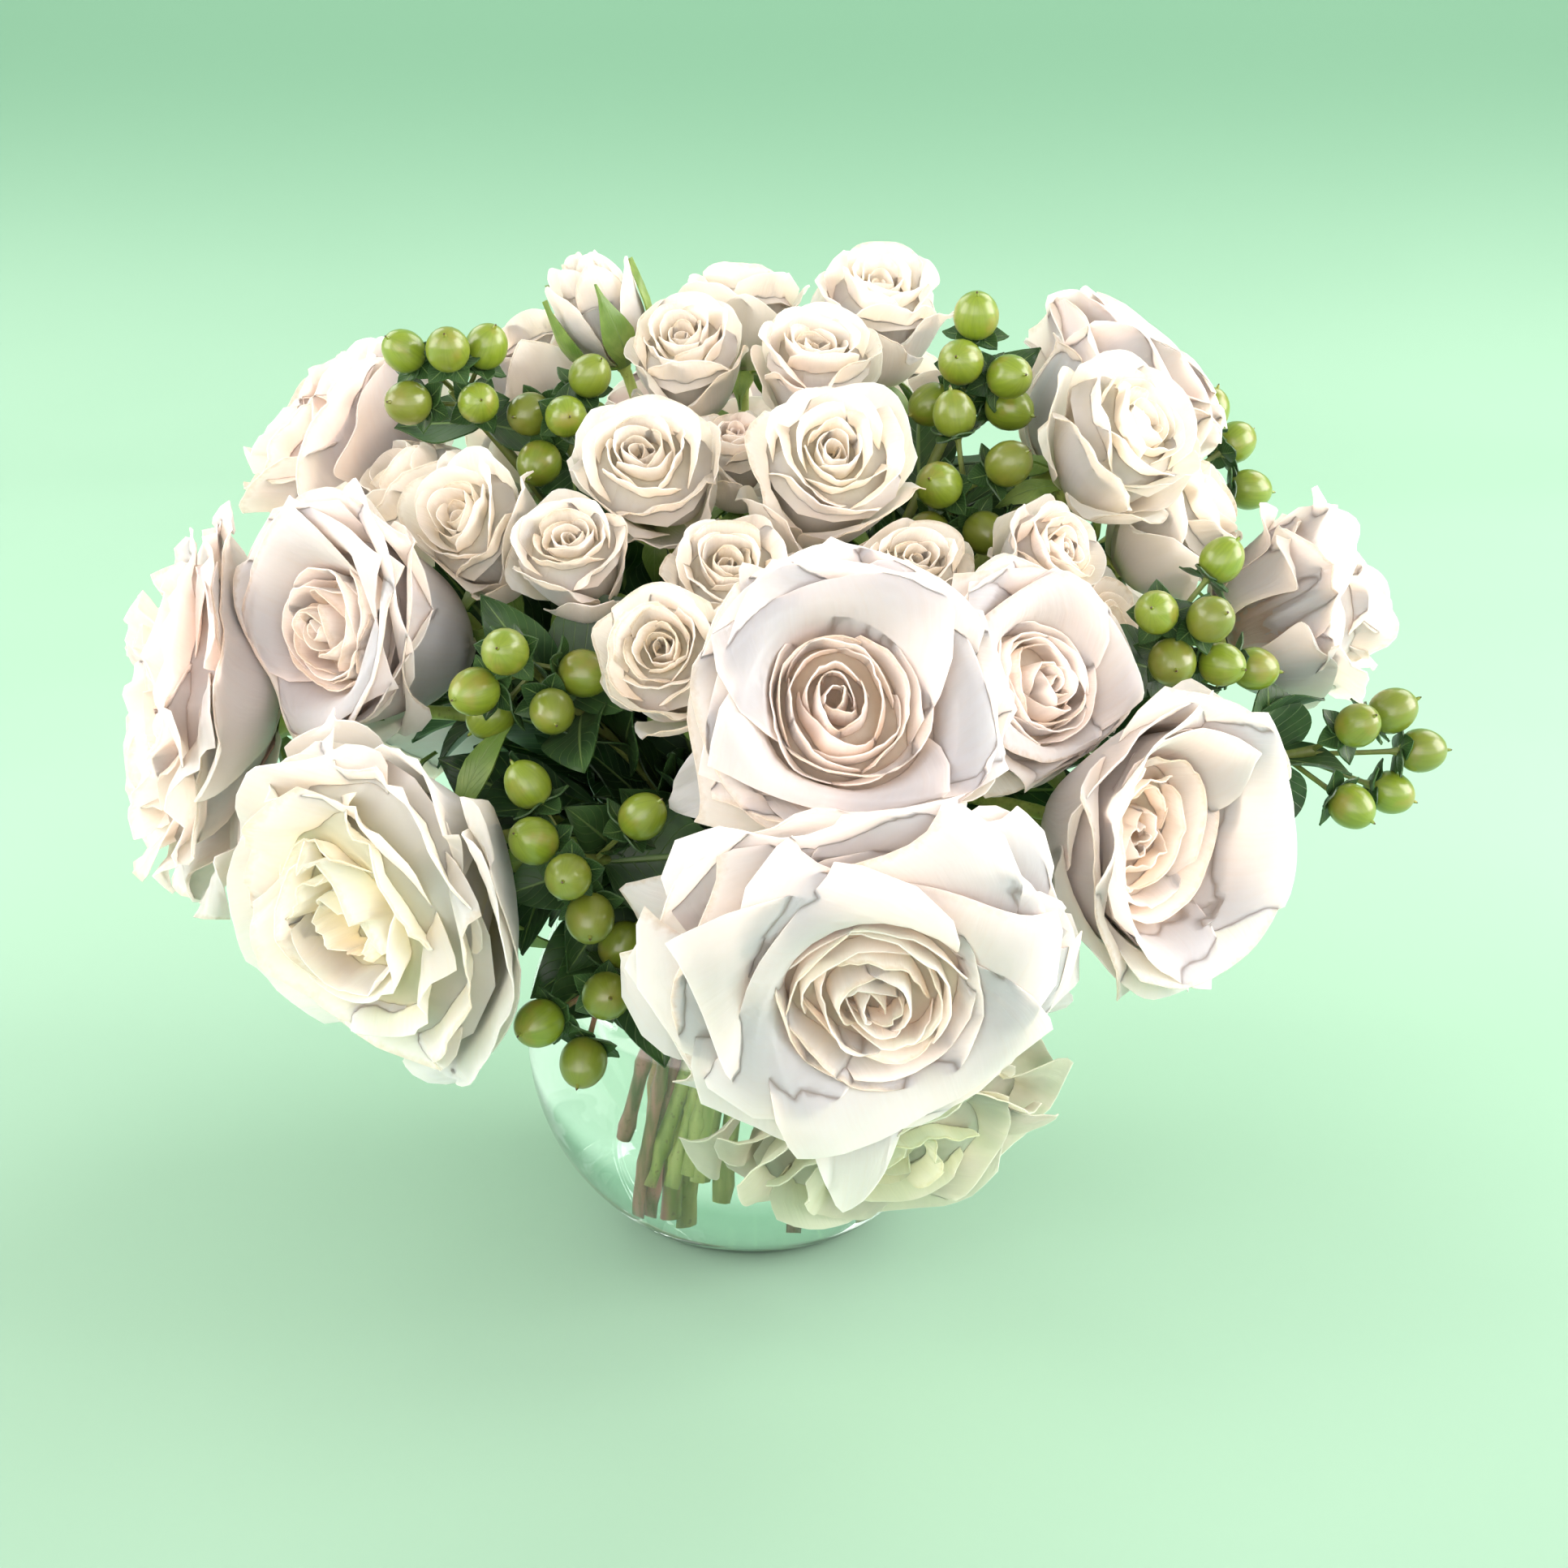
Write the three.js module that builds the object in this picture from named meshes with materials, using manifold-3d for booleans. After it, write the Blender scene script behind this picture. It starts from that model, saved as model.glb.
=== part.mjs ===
// A floral table centrepiece: white garden roses, white spray roses and green hypericum berries,
// standing in water in a round clear glass bowl. Millimetres, +Z up, with the origin at the middle
// of the bowl's foot. The side seen first faces -Y, and its right is +X.
import * as THREE from "three";
import { mergeVertices } from "three/addons/utils/BufferGeometryUtils.js";
import Module from "manifold-3d";

const wasm = await Module();
wasm.setup();
const { Manifold, Mesh } = wasm;

// ---------------------------------------------------------------- driving dimensions

const BOWL_RADIUS = 70; // outside, at the bowl's waist
const FOOT_RADIUS = 36; // the flat that the bowl stands on
const NECK_RADIUS = 46; // outside, where the wall turns out into the lip
const LIP_OUT = 3; // how far the lip flares past the neck
const LIP_RISE = 4;
const GLASS = 3;
const GLASS_BASE = 5;
const BOWL_SIDES = 22;
const WATER_TOP = 92;
const GAP = 0.35; // between pieces that touch

const STEM_RADIUS = 2.2;
const BERRY_STEM_RADIUS = 1.7;
const STEM_SIDES = 4;
const BUNDLE_SPREAD = 6; // how far a stem slants sideways between its cut end and the neck
const BUNDLE_ROOM = 7.4; // radius that a bundle takes in the neck
const SINGLE_ROOM = 2.1;
const FORK = 0.36; // a spray forks this share of the way back from its blooms to the hub
const BUNDLE_OUT = 26; // how far from the middle of the neck the bundles stand, and the single stems
const BERRY_OUT = 35;
const NECK_ROOM = 41;
const TWIST = THREE.MathUtils.degToRad(-32); // the stems' spiral between the neck and their cut ends
const SPREAD = 1.2; // the cut ends stand this much wider than the stems do in the neck
const BINDING = 104; // height at which the stems of a bundle cross
const CUT_LOW = 12; // height of the lowest cut ends
const CUT_SPREAD = 0.24; // others are cut up to this share of the way to the neck
const LEAN = 0.6; // stems that lean on each other overlap, to be one body
const BOW_OUT = 0.38; // share of a stem's length above the neck that it keeps its slant
const BOW_IN = 0.34; // share of it that it keeps the way its bloom faces
const STEEP = 0.65; // a stem that rises by a smaller share than this to its bloom keeps its slant longer
const STEEPER = 0.66; // by this share of what it lacks
const MOST_LEVEL = 0.85;
const CUP_LONG = 1.6; // length of the green cup under a bloom, in its own radii
const HUB = new THREE.Vector3(0, 5, 108); // the point that the stems fan out from

const PETAL = 0.9; // thickness of a garden rose's petal
const SMALL_PETAL = 0.7;
const LEAF = 0.8;
const STALK = 0.9;
const STALK_STEP = 2; // each stalk leaves the stem this far under the one before
const STALK_SUNK = 1.5; // and runs this far into its berry
const LEAF_DROP = 15; // a hypericum's leaves leave its stem this far under the fork
const BERRY_LONG = 14.5;
const BERRY_WIDE = 13;
const BERRY_REACH = 21; // a berry's usual distance from its cluster's fork
const BERRY_ROOM = 15.4; // between the middles of two berries
const BERRY_SETTLING = 60; // rounds of pushing the berries apart
const NECK_SETTLING = 600; // rounds of pushing the bundles apart
const NEAR = 1.35; // heads further apart than this, in their joint reach, don't crowd each other
const HOLE_WIDER = 1.4; // the stems' holes in the water, against the room that the stems take there
const HOLE_ROOM = 0.8; // and round a single stem

const IVORY = 0xf4eee4;
const CREAM = 0xf1efd9;
const STEM_GREEN = 0x5f7f3a;
const BERRY_GREEN = 0x6f9a2c;
const GLASS_TINT = 0xdff0ea;
const WATER_TINT = 0xd5ece2;

// Garden roses: name, middle of the head [x, y, z], [heading, rise] that it faces in degrees,
// diameter, height, form, roll. Heading 0 faces -Y and 90 faces +X.
const GARDEN_ROSES = [
  ["rose_far_left", [-161, -16, 170], [-88, 8], 104, 42, "open", 10],
  ["rose_left", [-107, -32, 198], [-62, 16], 74, 60, "cup", 30],
  ["rose_upper_left", [-125, 58, 228], [-108, 34], 76, 52, "cup", 60],
  ["rose_left_inner", [-96, 24, 223], [-80, 46], 50, 40, "spray", 15],
  ["rose_lower_left", [-95, -92, 138], [-36, -6], 112, 48, "open", 45],
  ["rose_front", [29, -104, 196], [6, 26], 84, 50, "cup", 20],
  ["rose_low_front", [31, -134, 133], [12, -12], 114, 50, "open", 75],
  ["rose_front_inner", [74, -64, 188], [34, 24], 66, 46, "cup", 50],
  ["rose_right_front", [112, -80, 150], [40, 6], 82, 54, "cup", 5],
  ["rose_far_right", [164, 10, 194], [96, 18], 68, 48, "cup", 35],
  ["rose_upper_right", [110, 50, 244], [112, 44], 68, 50, "cup", 25],
  ["rose_under_front", [36, -106, 76], [16, -42], 96, 40, "open", 0],
  ["rose_right_inner", [97, -13, 186], [62, 34], 45, 36, "spray", 70],
  ["rose_right_upper", [126, 16, 216], [84, 38], 48, 40, "spray", 40],
  ["rose_back", [-4, 136, 148], [178, 10], 96, 50, "cup", 20],
  ["rose_back_right", [90, 112, 152], [140, 12], 84, 52, "cup", 55],
  ["rose_back_left", [-92, 112, 150], [-140, 10], 88, 50, "cup", 80],
  ["rose_back_low", [24, 108, 78], [165, -36], 80, 38, "open", 30],
  ["rose_back_upper", [-22, 112, 216], [-172, 40], 66, 48, "cup", 65],
];

// Spray roses, spray by spray, since each stem forks to its own: the garden roses' columns.
const SPRAYS = {
  spray_top_left: [
    ["spray_bud_top_left", [-47, 48, 277], [-70, 66], 29, 36, "bud", 0],
    ["spray_rose_top_far", [-68, 68, 256], [-120, 50], 36, 32, "spray", 40],
  ],
  spray_top: [
    ["spray_rose_top", [-19, 33, 261], [-12, 62], 40, 36, "spray", 15],
    ["spray_rose_top_back", [-4, 82, 269], [-170, 74], 44, 32, "spray", 50],
  ],
  spray_top_right: [
    ["spray_rose_high", [40, 56, 272], [30, 74], 48, 36, "spray", 30],
    ["spray_rose_top_front", [20, 25, 259], [4, 58], 38, 38, "spray", 70],
  ],
  spray_left: [
    ["spray_rose_left", [-77, -22, 223], [-40, 36], 46, 36, "spray", 20],
    ["spray_rose_left_small", [-49, -44, 218], [-14, 46], 38, 34, "spray", 60],
  ],
  spray_middle: [
    ["spray_rose_middle", [-28, -22, 238], [-6, 42], 46, 38, "spray", 45],
    ["spray_rose_middle_right", [22, -26, 238], [10, 46], 50, 42, "spray", 5],
    ["spray_rose_middle_inner", [-4, 10, 236], [0, 64], 28, 30, "spray", 35],
  ],
  spray_front: [
    ["spray_rose_front_upper", [-5, -50, 214], [4, 48], 38, 34, "spray", 25],
    ["spray_rose_front", [-20, -82, 199], [-14, 34], 40, 36, "spray", 55],
    ["spray_rose_front_right", [44, -42, 212], [24, 46], 36, 34, "spray", 80],
  ],
  spray_right: [
    ["spray_rose_right_small", [83, -36, 216], [40, 38], 34, 32, "spray", 10],
    ["spray_rose_right", [106, 0, 243], [44, 42], 50, 40, "spray", 65],
  ],
  spray_back: [
    ["spray_rose_back", [50, 102, 236], [150, 50], 44, 34, "spray", 0],
    ["spray_rose_back_left", [-74, 106, 222], [-145, 46], 42, 34, "spray", 40],
  ],
};

// Outer petals that hang loose: bloom, how far right, back and up of its middle the tip is, width.
const LOOSE_PETALS = [
  ["rose_far_left", [16, -34, -58], 34],
  ["rose_front", [-48, 8, -30], 36],
  ["rose_low_front", [-70, 18, 6], 46],
  ["rose_low_front", [60, 20, -18], 40],
  ["rose_right_front", [-30, 6, -42], 34],
];

// Which roses' and sprays' stems lean on each other in the neck, bundle by bundle.
const BUNDLES = {
  stems_front: ["rose_lower_left", "rose_low_front", "rose_under_front", "spray_front"],
  stems_left: ["rose_far_left", "rose_left", "rose_upper_left", "rose_left_inner", "spray_left",
    "spray_top_left"],
  stems_middle: ["rose_front", "spray_middle", "spray_top", "spray_top_right"],
  stems_right: ["rose_front_inner", "rose_right_front", "rose_right_inner", "rose_far_right",
    "rose_upper_right", "rose_right_upper", "spray_right"],
  stems_back: ["rose_back", "rose_back_right", "rose_back_left", "rose_back_low", "rose_back_upper",
    "spray_back"],
};

// Hypericum: name, the fork that the berries' stalks leave, the [heading, rise] that the stem comes
// to it by, the side the berries turn to (-1 front, 1 back), how far right and up of the fork each
// berry hangs, and the leaves as tip offsets [right, back, up] and widths.
const HYPERICUM = [
  ["berries_top_left", [-90, 28, 256], [-60, 48], -1,
    [[-7, 13], [1, 14], [10, 14], [-11, 0], [13, -2]],
    [[[-28, 4, -2], 18], [[26, 4, -8], 18]]],
  ["berries_top_left_inner", [-60, 32, 250], [-80, 72], -1,
    [[-15, -1], [5, 1], [12, 11], [-4, -12]],
    [[[4, -20, -16], 18]]],
  ["berries_top_right", [68, 34, 262], [100, 68], -1,
    [[-1, 17], [-5, 4], [8, 0], [-14, -13], [10, -14]],
    [[[26, 8, 18], 14]]],
  ["berries_middle_right", [64, 4, 232], [88, 66], -1,
    [[-4, 22], [15, 9], [-11, 3], [-12, -13], [5, -12], [24, -15]],
    [[[26, 16, 14], 20]]],
  ["berries_left", [-62, -62, 196], [-43, 46], -1,
    [[-3, 7], [20, -3], [-12, -5], [-11, -19], [9, -11]],
    [[[36, 8, 18], 30], [[-20, 4, 26], 14]]],
  ["berries_front_left", [-46, -92, 148], [-25, 24], -1,
    [[-13, 21], [-13, 7], [-3, 3], [4, -10], [18, 12]],
    [[[34, 2, 2], 26], [[-28, -6, -8], 16]]],
  ["berries_low_left", [-44, -86, 106], [-26, 0], -1,
    [[9, 21], [6, 7], [-13, -2], [-1, -14]],
    [[[22, -12, -16], 18]]],
  ["berries_right", [120, -36, 200], [71, 84], -1,
    [[-5, 7], [14, 18], [7, 5], [-1, -8], [12, -8], [25, -14]],
    [[[-24, -14, 8], 18], [[16, -18, -28], 18]]],
  ["berries_far_right", [166, -24, 158], [80, 20], -1,
    [[9, 12], [23, 11], [30, 0], [24, -12], [9, -13]],
    [[[-8, -28, -6], 26], [[14, 4, -26], 16]]],
  ["berries_upper_right", [140, 72, 222], [112, 40], 1,
    [[6, 20], [16, 8], [20, -6], [0, 2]],
    [[[10, 22, -26], 18]]],
  ["berries_back", [44, 140, 196], [162, 34], 1,
    [[-14, 8], [0, 18], [14, 6], [0, -12]],
    [[[-32, 10, -6], 20]]],
  ["berries_back_left", [-138, 66, 172], [-114, 26], 1,
    [[-14, 14], [2, 14], [-16, -4], [0, -10]],
    [[[-12, 28, -24], 20]]],
];
const SMALL_HEAD = 51; // a bloom up to this wide is a spray rose
const CLUSTER_WIDE = 46; // the room that one cluster of berries takes

// ---------------------------------------------------------------- solids

const vec = (x, y, z) => new THREE.Vector3(x, y, z);
const rad = THREE.MathUtils.degToRad;

/** A closed manifold solid of a geometry, turned to face out. */
function solidOf(geometry) {
  const bare = new THREE.BufferGeometry();
  bare.setAttribute("position", geometry.getAttribute("position"));
  if (geometry.index) bare.setIndex(geometry.index);
  const merged = mergeVertices(bare, 1e-4);
  const all = merged.index.array;
  const kept = [];
  for (let i = 0; i < all.length; i += 3) {
    const [a, b, c] = [all[i], all[i + 1], all[i + 2]];
    if (a !== b && b !== c && a !== c) kept.push([a, b, c]);
  }
  const make = (faces) =>
    new Manifold(
      new Mesh({
        numProp: 3,
        vertProperties: new Float32Array(merged.attributes.position.array),
        triVerts: new Uint32Array(faces.flat()),
      }),
    );
  const made = make(kept);
  return made.volume() < 0 ? make(kept.map(([a, b, c]) => [a, c, b])) : made;
}

/** A BufferGeometry of a solid, moved by a matrix. */
function geometryOf(solid, matrix) {
  const mesh = solid.getMesh();
  const count = mesh.numVert;
  const place = new Float32Array(count * 3);
  for (let i = 0; i < count; i++) {
    place.set(mesh.vertProperties.subarray(i * mesh.numProp, i * mesh.numProp + 3), i * 3);
  }
  return new THREE.BufferGeometry()
    .setAttribute("position", new THREE.BufferAttribute(place, 3))
    .setIndex(new THREE.BufferAttribute(mesh.triVerts, 1))
    .applyMatrix4(matrix);
}

/** A solid from points and triangles that name them. */
function solidFrom(points, faces) {
  const geometry = new THREE.BufferGeometry().setFromPoints(points);
  geometry.setIndex(faces.flat());
  return solidOf(geometry);
}

/** A thin closed blade through rows of 1 or 3 points, from its root to its tip. */
function blade(rows, thick) {
  const points = rows.flat();
  const starts = rows.map((_, i) => rows.slice(0, i).flat().length);
  const faces = [];
  for (let i = 0; i + 1 < rows.length; i++) {
    const [a, b] = [starts[i], starts[i + 1]];
    if (rows[i].length === 1) {
      faces.push([a, b, b + 1], [a, b + 1, b + 2]);
    } else if (rows[i + 1].length === 1) {
      faces.push([a, b, a + 1], [a + 1, b, a + 2]);
    } else {
      faces.push([a, b, b + 1], [a, b + 1, a + 1], [a + 1, b + 1, a + 2], [a + 2, b + 1, b + 2]);
    }
  }
  const normals = points.map(() => vec(0, 0, 0));
  for (const face of faces) {
    const [a, b, c] = face.map((i) => points[i]);
    const normal = b.clone().sub(a).cross(c.clone().sub(a));
    face.forEach((i) => normals[i].add(normal));
  }
  const side = (sign) =>
    points.map((p, i) => p.clone().addScaledVector(normals[i].normalize(), (sign * thick) / 2));
  const back = points.length;
  const closed = [...faces, ...faces.map(([a, b, c]) => [back + a, back + c, back + b])];
  const edges = faces.flatMap(([a, b, c]) => [[a, b], [b, c], [c, a]]);
  const known = new Set(edges.map(([a, b]) => a + "," + b));
  for (const [a, b] of edges) {
    if (known.has(b + "," + a)) continue;
    closed.push([b, a, back + a], [b, back + a, back + b]);
  }
  return solidFrom([...side(1), ...side(-1)], closed);
}

/** A closed tube through points, with a radius at each one. */
function tube(points, radii, sides) {
  const rings = [];
  let across = null;
  points.forEach((point, i) => {
    const ahead = points[Math.min(i + 1, points.length - 1)];
    const behind = points[Math.max(i - 1, 0)];
    const along = ahead.clone().sub(behind).normalize();
    across ??= vec(1, 0.3, 0).cross(along);
    across = across.addScaledVector(along, -across.dot(along)).normalize();
    const other = along.clone().cross(across);
    for (let k = 0; k < sides; k++) {
      const turn = (2 * Math.PI * k) / sides;
      rings.push(
        point
          .clone()
          .addScaledVector(across, radii[i] * Math.cos(turn))
          .addScaledVector(other, radii[i] * Math.sin(turn)),
      );
    }
  });
  const faces = [];
  const last = (points.length - 1) * sides;
  for (let i = 0; i + 1 < points.length; i++) {
    for (let k = 0; k < sides; k++) {
      const a = i * sides + k;
      const b = i * sides + ((k + 1) % sides);
      faces.push([a, b, b + sides], [a, b + sides, a + sides]);
    }
  }
  for (let k = 1; k + 1 < sides; k++) {
    faces.push([0, k + 1, k], [last, last + k, last + k + 1]);
  }
  return solidFrom(rings, faces);
}

/** A lathe about +Z through [radius, height] pairs that start and end on the axis. */
function turned(profile, sides) {
  const points = profile.map(([r, z]) => new THREE.Vector2(r, z));
  return solidOf(new THREE.LatheGeometry(points, sides).rotateX(Math.PI / 2));
}

/** Solids joined, with any scrap that hangs loose from the largest body dropped. */
function fused(solids) {
  return largest(Manifold.union(solids));
}

function largest(solid) {
  return solid.decompose().reduce((a, b) => (b.volume() > a.volume() ? b : a));
}

// ---------------------------------------------------------------- layout

/** The way that a heading and a rise in degrees point. */
function facing([heading, rise]) {
  const [h, r] = [rad(heading), rad(rise)];
  return vec(Math.sin(h) * Math.cos(r), -Math.cos(h) * Math.cos(r), Math.sin(r));
}

/** One bloom's or cluster's place, way and room. */
function headOf(name, middle, way, wide, deep, form, roll) {
  const axis = facing(way);
  const base = vec(...middle).addScaledVector(axis, -deep / 2);
  const turn = new THREE.Quaternion().setFromUnitVectors(vec(0, 0, 1), axis);
  turn.multiply(new THREE.Quaternion().setFromAxisAngle(vec(0, 0, 1), rad(roll)));
  return { name, form, wide, deep, axis, base, turn, middle: vec(...middle) };
}

const blooms = [...GARDEN_ROSES, ...Object.values(SPRAYS).flat()].map((row) => headOf(...row));
const clusters = HYPERICUM.map(([name, fork, way, side, berries, leaves]) => ({
  ...headOf(name, fork, way, CLUSTER_WIDE, CLUSTER_WIDE, "berries", 0),
  side,
  berries,
  leaves,
}));
const heads = [...blooms, ...clusters];
const headNamed = (name) => heads.find((head) => head.name === name);

/** How far a head reaches from its middle along a unit vector, as an ellipsoid would. */
function reachAlong(head, along) {
  const c = head.axis.dot(along);
  return Math.hypot((head.wide / 2) * Math.sqrt(1 - c * c), (head.deep / 2) * c);
}

/** The planes, as [normal, offset], that keep a head clear of its neighbours: it keeps the side
 * that each normal points to. Two heads share the distance between them by their reach. */
function cellOf(head) {
  const planes = [];
  for (const other of heads) {
    if (other === head) continue;
    const along = other.middle.clone().sub(head.middle);
    const apart = along.length();
    along.normalize();
    const own = reachAlong(head, along);
    const others = reachAlong(other, along);
    if (apart > (own + others) * NEAR) continue;
    const at = (apart * own) / (own + others) - GAP / 2;
    const normal = along.clone().negate();
    planes.push([normal, normal.dot(head.middle.clone().addScaledVector(along, at))]);
  }
  return planes;
}
heads.forEach((head) => (head.cell = cellOf(head)));

const trimmed = (solid, cell) =>
  cell.reduce((rest, [normal, offset]) => rest.trimByPlane(normal.toArray(), offset), solid);

/** The matrix from a head's own frame, with its base at the origin and facing +Z, to the part's. */
function frameOf(head) {
  return new THREE.Matrix4().compose(head.base, head.turn, vec(1, 1, 1));
}
const inFrame = (rows, head) => rows.map((row) => row.map((point) => point.applyMatrix4(frameOf(head))));

// ---------------------------------------------------------------- blooms

// The forms of bloom: the petals of each layer, the points round each petal, and the radius and height
// of the belly, of each layer's rim at a petal's middle and of the fold inside it, as shares of the
// bloom's radius and height, from the outside in. The innermost layer closes on the heart.
const FORMS = {
  open: {
    petals: 4,
    points: 4,
    belly: [0.62, 0.16],
    layers: [
      { rim: [1, 0.5], fold: [0.62, 0.3] },
      { rim: [0.7, 0.84], fold: [0.42, 0.5] },
      { rim: [0.36, 1] },
    ],
  },
  cup: {
    petals: 3,
    points: 4,
    belly: [0.8, 0.28],
    layers: [
      { rim: [1, 0.72], fold: [0.66, 0.36] },
      { rim: [0.68, 0.96], fold: [0.4, 0.5] },
      { rim: [0.34, 1] },
    ],
  },
  spray: {
    petals: 3,
    points: 3,
    belly: [0.82, 0.3],
    layers: [{ rim: [1, 0.76], fold: [0.64, 0.42] }, { rim: [0.5, 1] }],
  },
  bud: {
    petals: 3,
    points: 3,
    belly: [0.86, 0.34],
    layers: [{ rim: [1, 0.94], fold: [0.66, 0.6] }, { rim: [0.5, 1] }],
  },
};
const CALYX_SHARE = 0.2; // the flat under a bloom, as a share of its radius
const LAP = 0.09; // a petal starts this far inside its neighbour's edge and ends as far outside it
const EDGE_GAP = 0.08; // the share of a petal's width between its edge and its neighbour's
const NOTCH = 0.16; // how much lower than its tip a petal's edges are
const CURL = 0.07; // how much nearer the middle the edges are than the tip
const HEART = 0.8; // height of the heart inside the innermost layer

/** A bloom: one closed skin that runs up each layer of petals, over its rim and down into the fold
 * behind it, to a heart in the middle. In every layer each petal's edge stands off its neighbour's,
 * and its petals stand between those of the layer outside it. */
function bloom(head) {
  const { petals, points, belly, layers } = FORMS[head.form];
  const thick = head.wide > SMALL_HEAD ? PETAL : SMALL_PETAL;
  const wall = (2 * thick) / head.wide;
  const row = ([out, up], index, { low = 0, curl = 0, inside = 0 } = {}) => {
    const start = (index % 2) * (points / 2);
    return Array.from({ length: petals * points }, (_, k) => {
      const along = k - Math.floor(start);
      const petal = Math.floor(along / points);
      const side = ((along - petal * points) / (points - 1)) * 2 - 1;
      const share = start / points + petal + (side * (1 - EDGE_GAP) + 1) / 2;
      const angle = (2 * Math.PI * share) / petals - inside / out;
      const r = (head.wide / 2) * (out - inside) * (1 + LAP * side - curl * side * side);
      const z = head.deep * (up - low * side * side);
      return vec(r * Math.cos(angle), r * Math.sin(angle), z);
    });
  };
  const rows = [row(belly, 0)];
  layers.forEach(({ rim, fold }, index) => {
    const edge = { low: NOTCH, curl: CURL };
    rows.push(row(rim, index, edge), row(rim, index, { ...edge, inside: wall }));
    if (fold) rows.push(row(fold, index));
  });
  const [poles] = inFrame([[vec(0, 0, GAP), vec(0, 0, head.deep * HEART)]], head);
  const whole = skin(inFrame(rows, head), ...poles);
  const loose = LOOSE_PETALS.filter(([name]) => name === head.name);
  const hanging = loose.map(([, tip, wide]) => loosePetal(head, vec(...tip), wide));
  return trimmed(Manifold.union([whole, ...hanging]), head.cell);
}

/** An outer petal that hangs away from its bloom, from the calyx to its tip. */
function loosePetal(head, tip, wide) {
  const root = head.base.clone().addScaledVector(head.axis, head.deep * 0.07);
  const way = head.middle.clone().add(tip).sub(root);
  const across = way.clone().cross(head.axis).normalize();
  const at = (share, side, out) =>
    root
      .clone()
      .addScaledVector(way, share)
      .addScaledVector(across, (wide / 2) * side)
      .addScaledVector(head.axis, head.deep * out);
  return blade(
    [
      [at(0, 0, 0)],
      [at(0.62, -0.8, 0.04), at(0.6, 0, -0.06), at(0.62, 0.8, 0.04)],
      [at(0.9, -0.7, 0.1), at(1, 0, 0), at(0.9, 0.7, 0.1)],
    ],
    PETAL,
  );
}

/** A closed skin over rows of points that run round, with a pole at each end. */
function skin(rows, first, last) {
  const count = rows[0].length;
  const faces = [];
  rows.forEach((_, i) => {
    for (let k = 0; k < count; k++) {
      const a = i * count + k;
      const b = i * count + ((k + 1) % count);
      if (i === 0) faces.push([rows.length * count, b, a]);
      if (i === rows.length - 1) faces.push([rows.length * count + 1, a, b]);
      else faces.push([a, b, b + count], [a, b + count, a + count]);
    }
  });
  return solidFrom([...rows.flat(), first, last], faces);
}

// ---------------------------------------------------------------- stems

const noise = (seed) => {
  const wave = Math.sin(seed * 91.7 + 11.3) * 4375.5;
  return wave - Math.floor(wave);
};
const flat = (v) => new THREE.Vector2(v.x, v.y);

/** What one stem runs to: a garden rose, a hypericum's fork or the fork of a spray. */
function goalOf(name) {
  const single = headNamed(name);
  if (single) return { name, heads: [single], end: single.base, arrival: single.axis };
  const own = SPRAYS[name].map(([bloom]) => headNamed(bloom));
  const middle = own.reduce((sum, head) => sum.add(head.base), vec(0, 0, 0)).divideScalar(own.length);
  const end = middle.clone().lerp(HUB, FORK);
  return { name, heads: own, end, arrival: middle.sub(HUB).normalize() };
}

/** Every bundle of stems, and every hypericum's single stem, with its place in the neck: out along
 * the way to its goals, and then pushed apart until none touches another. */
function bundlesInNeck() {
  const all = Object.entries(BUNDLES).map(([name, members]) => ({
    name, goals: members.map(goalOf), out: BUNDLE_OUT, room: BUNDLE_ROOM }));
  clusters.forEach(({ name, middle, axis }) => {
    const goal = { name, heads: [], end: middle.clone(), arrival: axis };
    all.push({ name, goals: [goal], out: BERRY_OUT, room: SINGLE_ROOM });
  });
  for (const bundle of all) {
    const way = bundle.goals.reduce((sum, goal) => sum.add(goal.end), vec(0, 0, 0));
    way.divideScalar(bundle.goals.length).sub(HUB).normalize();
    bundle.place = flat(way).multiplyScalar(bundle.out);
  }
  for (let round = 0; round < NECK_SETTLING; round++) {
    all.forEach((a, i) => all.slice(i + 1).forEach((b) => pushApart(a, b)));
    all.forEach((bundle) => bundle.place.clampLength(0, NECK_ROOM - bundle.room));
  }
  return all;
}

function pushApart(a, b) {
  const apart = b.place.clone().sub(a.place);
  const short = a.room + b.room - apart.length();
  if (short <= 0) return;
  apart.setLength(short / 2 + 0.01);
  a.place.sub(apart);
  b.place.add(apart);
}

const lifted = (v, z) => vec(v.x, v.y, z);

/** Where a bundle's middle would meet the height of the lowest cut ends. */
function footOf(bundle) {
  return bundle.place.clone().rotateAround(new THREE.Vector2(), TWIST).multiplyScalar(SPREAD);
}

/** A bundle's stems, each as the cut end, the point in the neck where it leans on its neighbours and
 * the way that it slants, all round the bundle's middle like the strings of a waisted stool. */
function strandsOf(bundle, index) {
  const foot = footOf(bundle);
  const count = bundle.goals.length;
  const touching = count > 1 ? (STEM_RADIUS * LEAN) / Math.sin(Math.PI / count) : 0;
  const slant = count > 1 ? BUNDLE_SPREAD : 0;
  return bundle.goals.map((_, k) => {
    const turn = (2 * Math.PI * k) / count + index;
    const side = new THREE.Vector2(Math.cos(turn), Math.sin(turn)).multiplyScalar(touching);
    const step = new THREE.Vector2(-Math.sin(turn), Math.cos(turn));
    const low = lifted(foot.clone().add(side).addScaledVector(step, -slant), CUT_LOW);
    const neck = lifted(bundle.place.clone().add(side), BINDING);
    return { step, cut: low.lerp(neck, CUT_SPREAD * noise(index * 7 + k)), neck };
  });
}

/** Gives each stem of a bundle the goal that lies furthest out on its own side. */
function dealt(bundle, strands) {
  const left = [...bundle.goals];
  return strands.map((strand) => {
    const out = (goal) => flat(goal.end).sub(bundle.place).normalize().dot(strand.step);
    left.sort((a, b) => out(b) - out(a));
    return { ...strand, ...left.shift() };
  });
}

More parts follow.
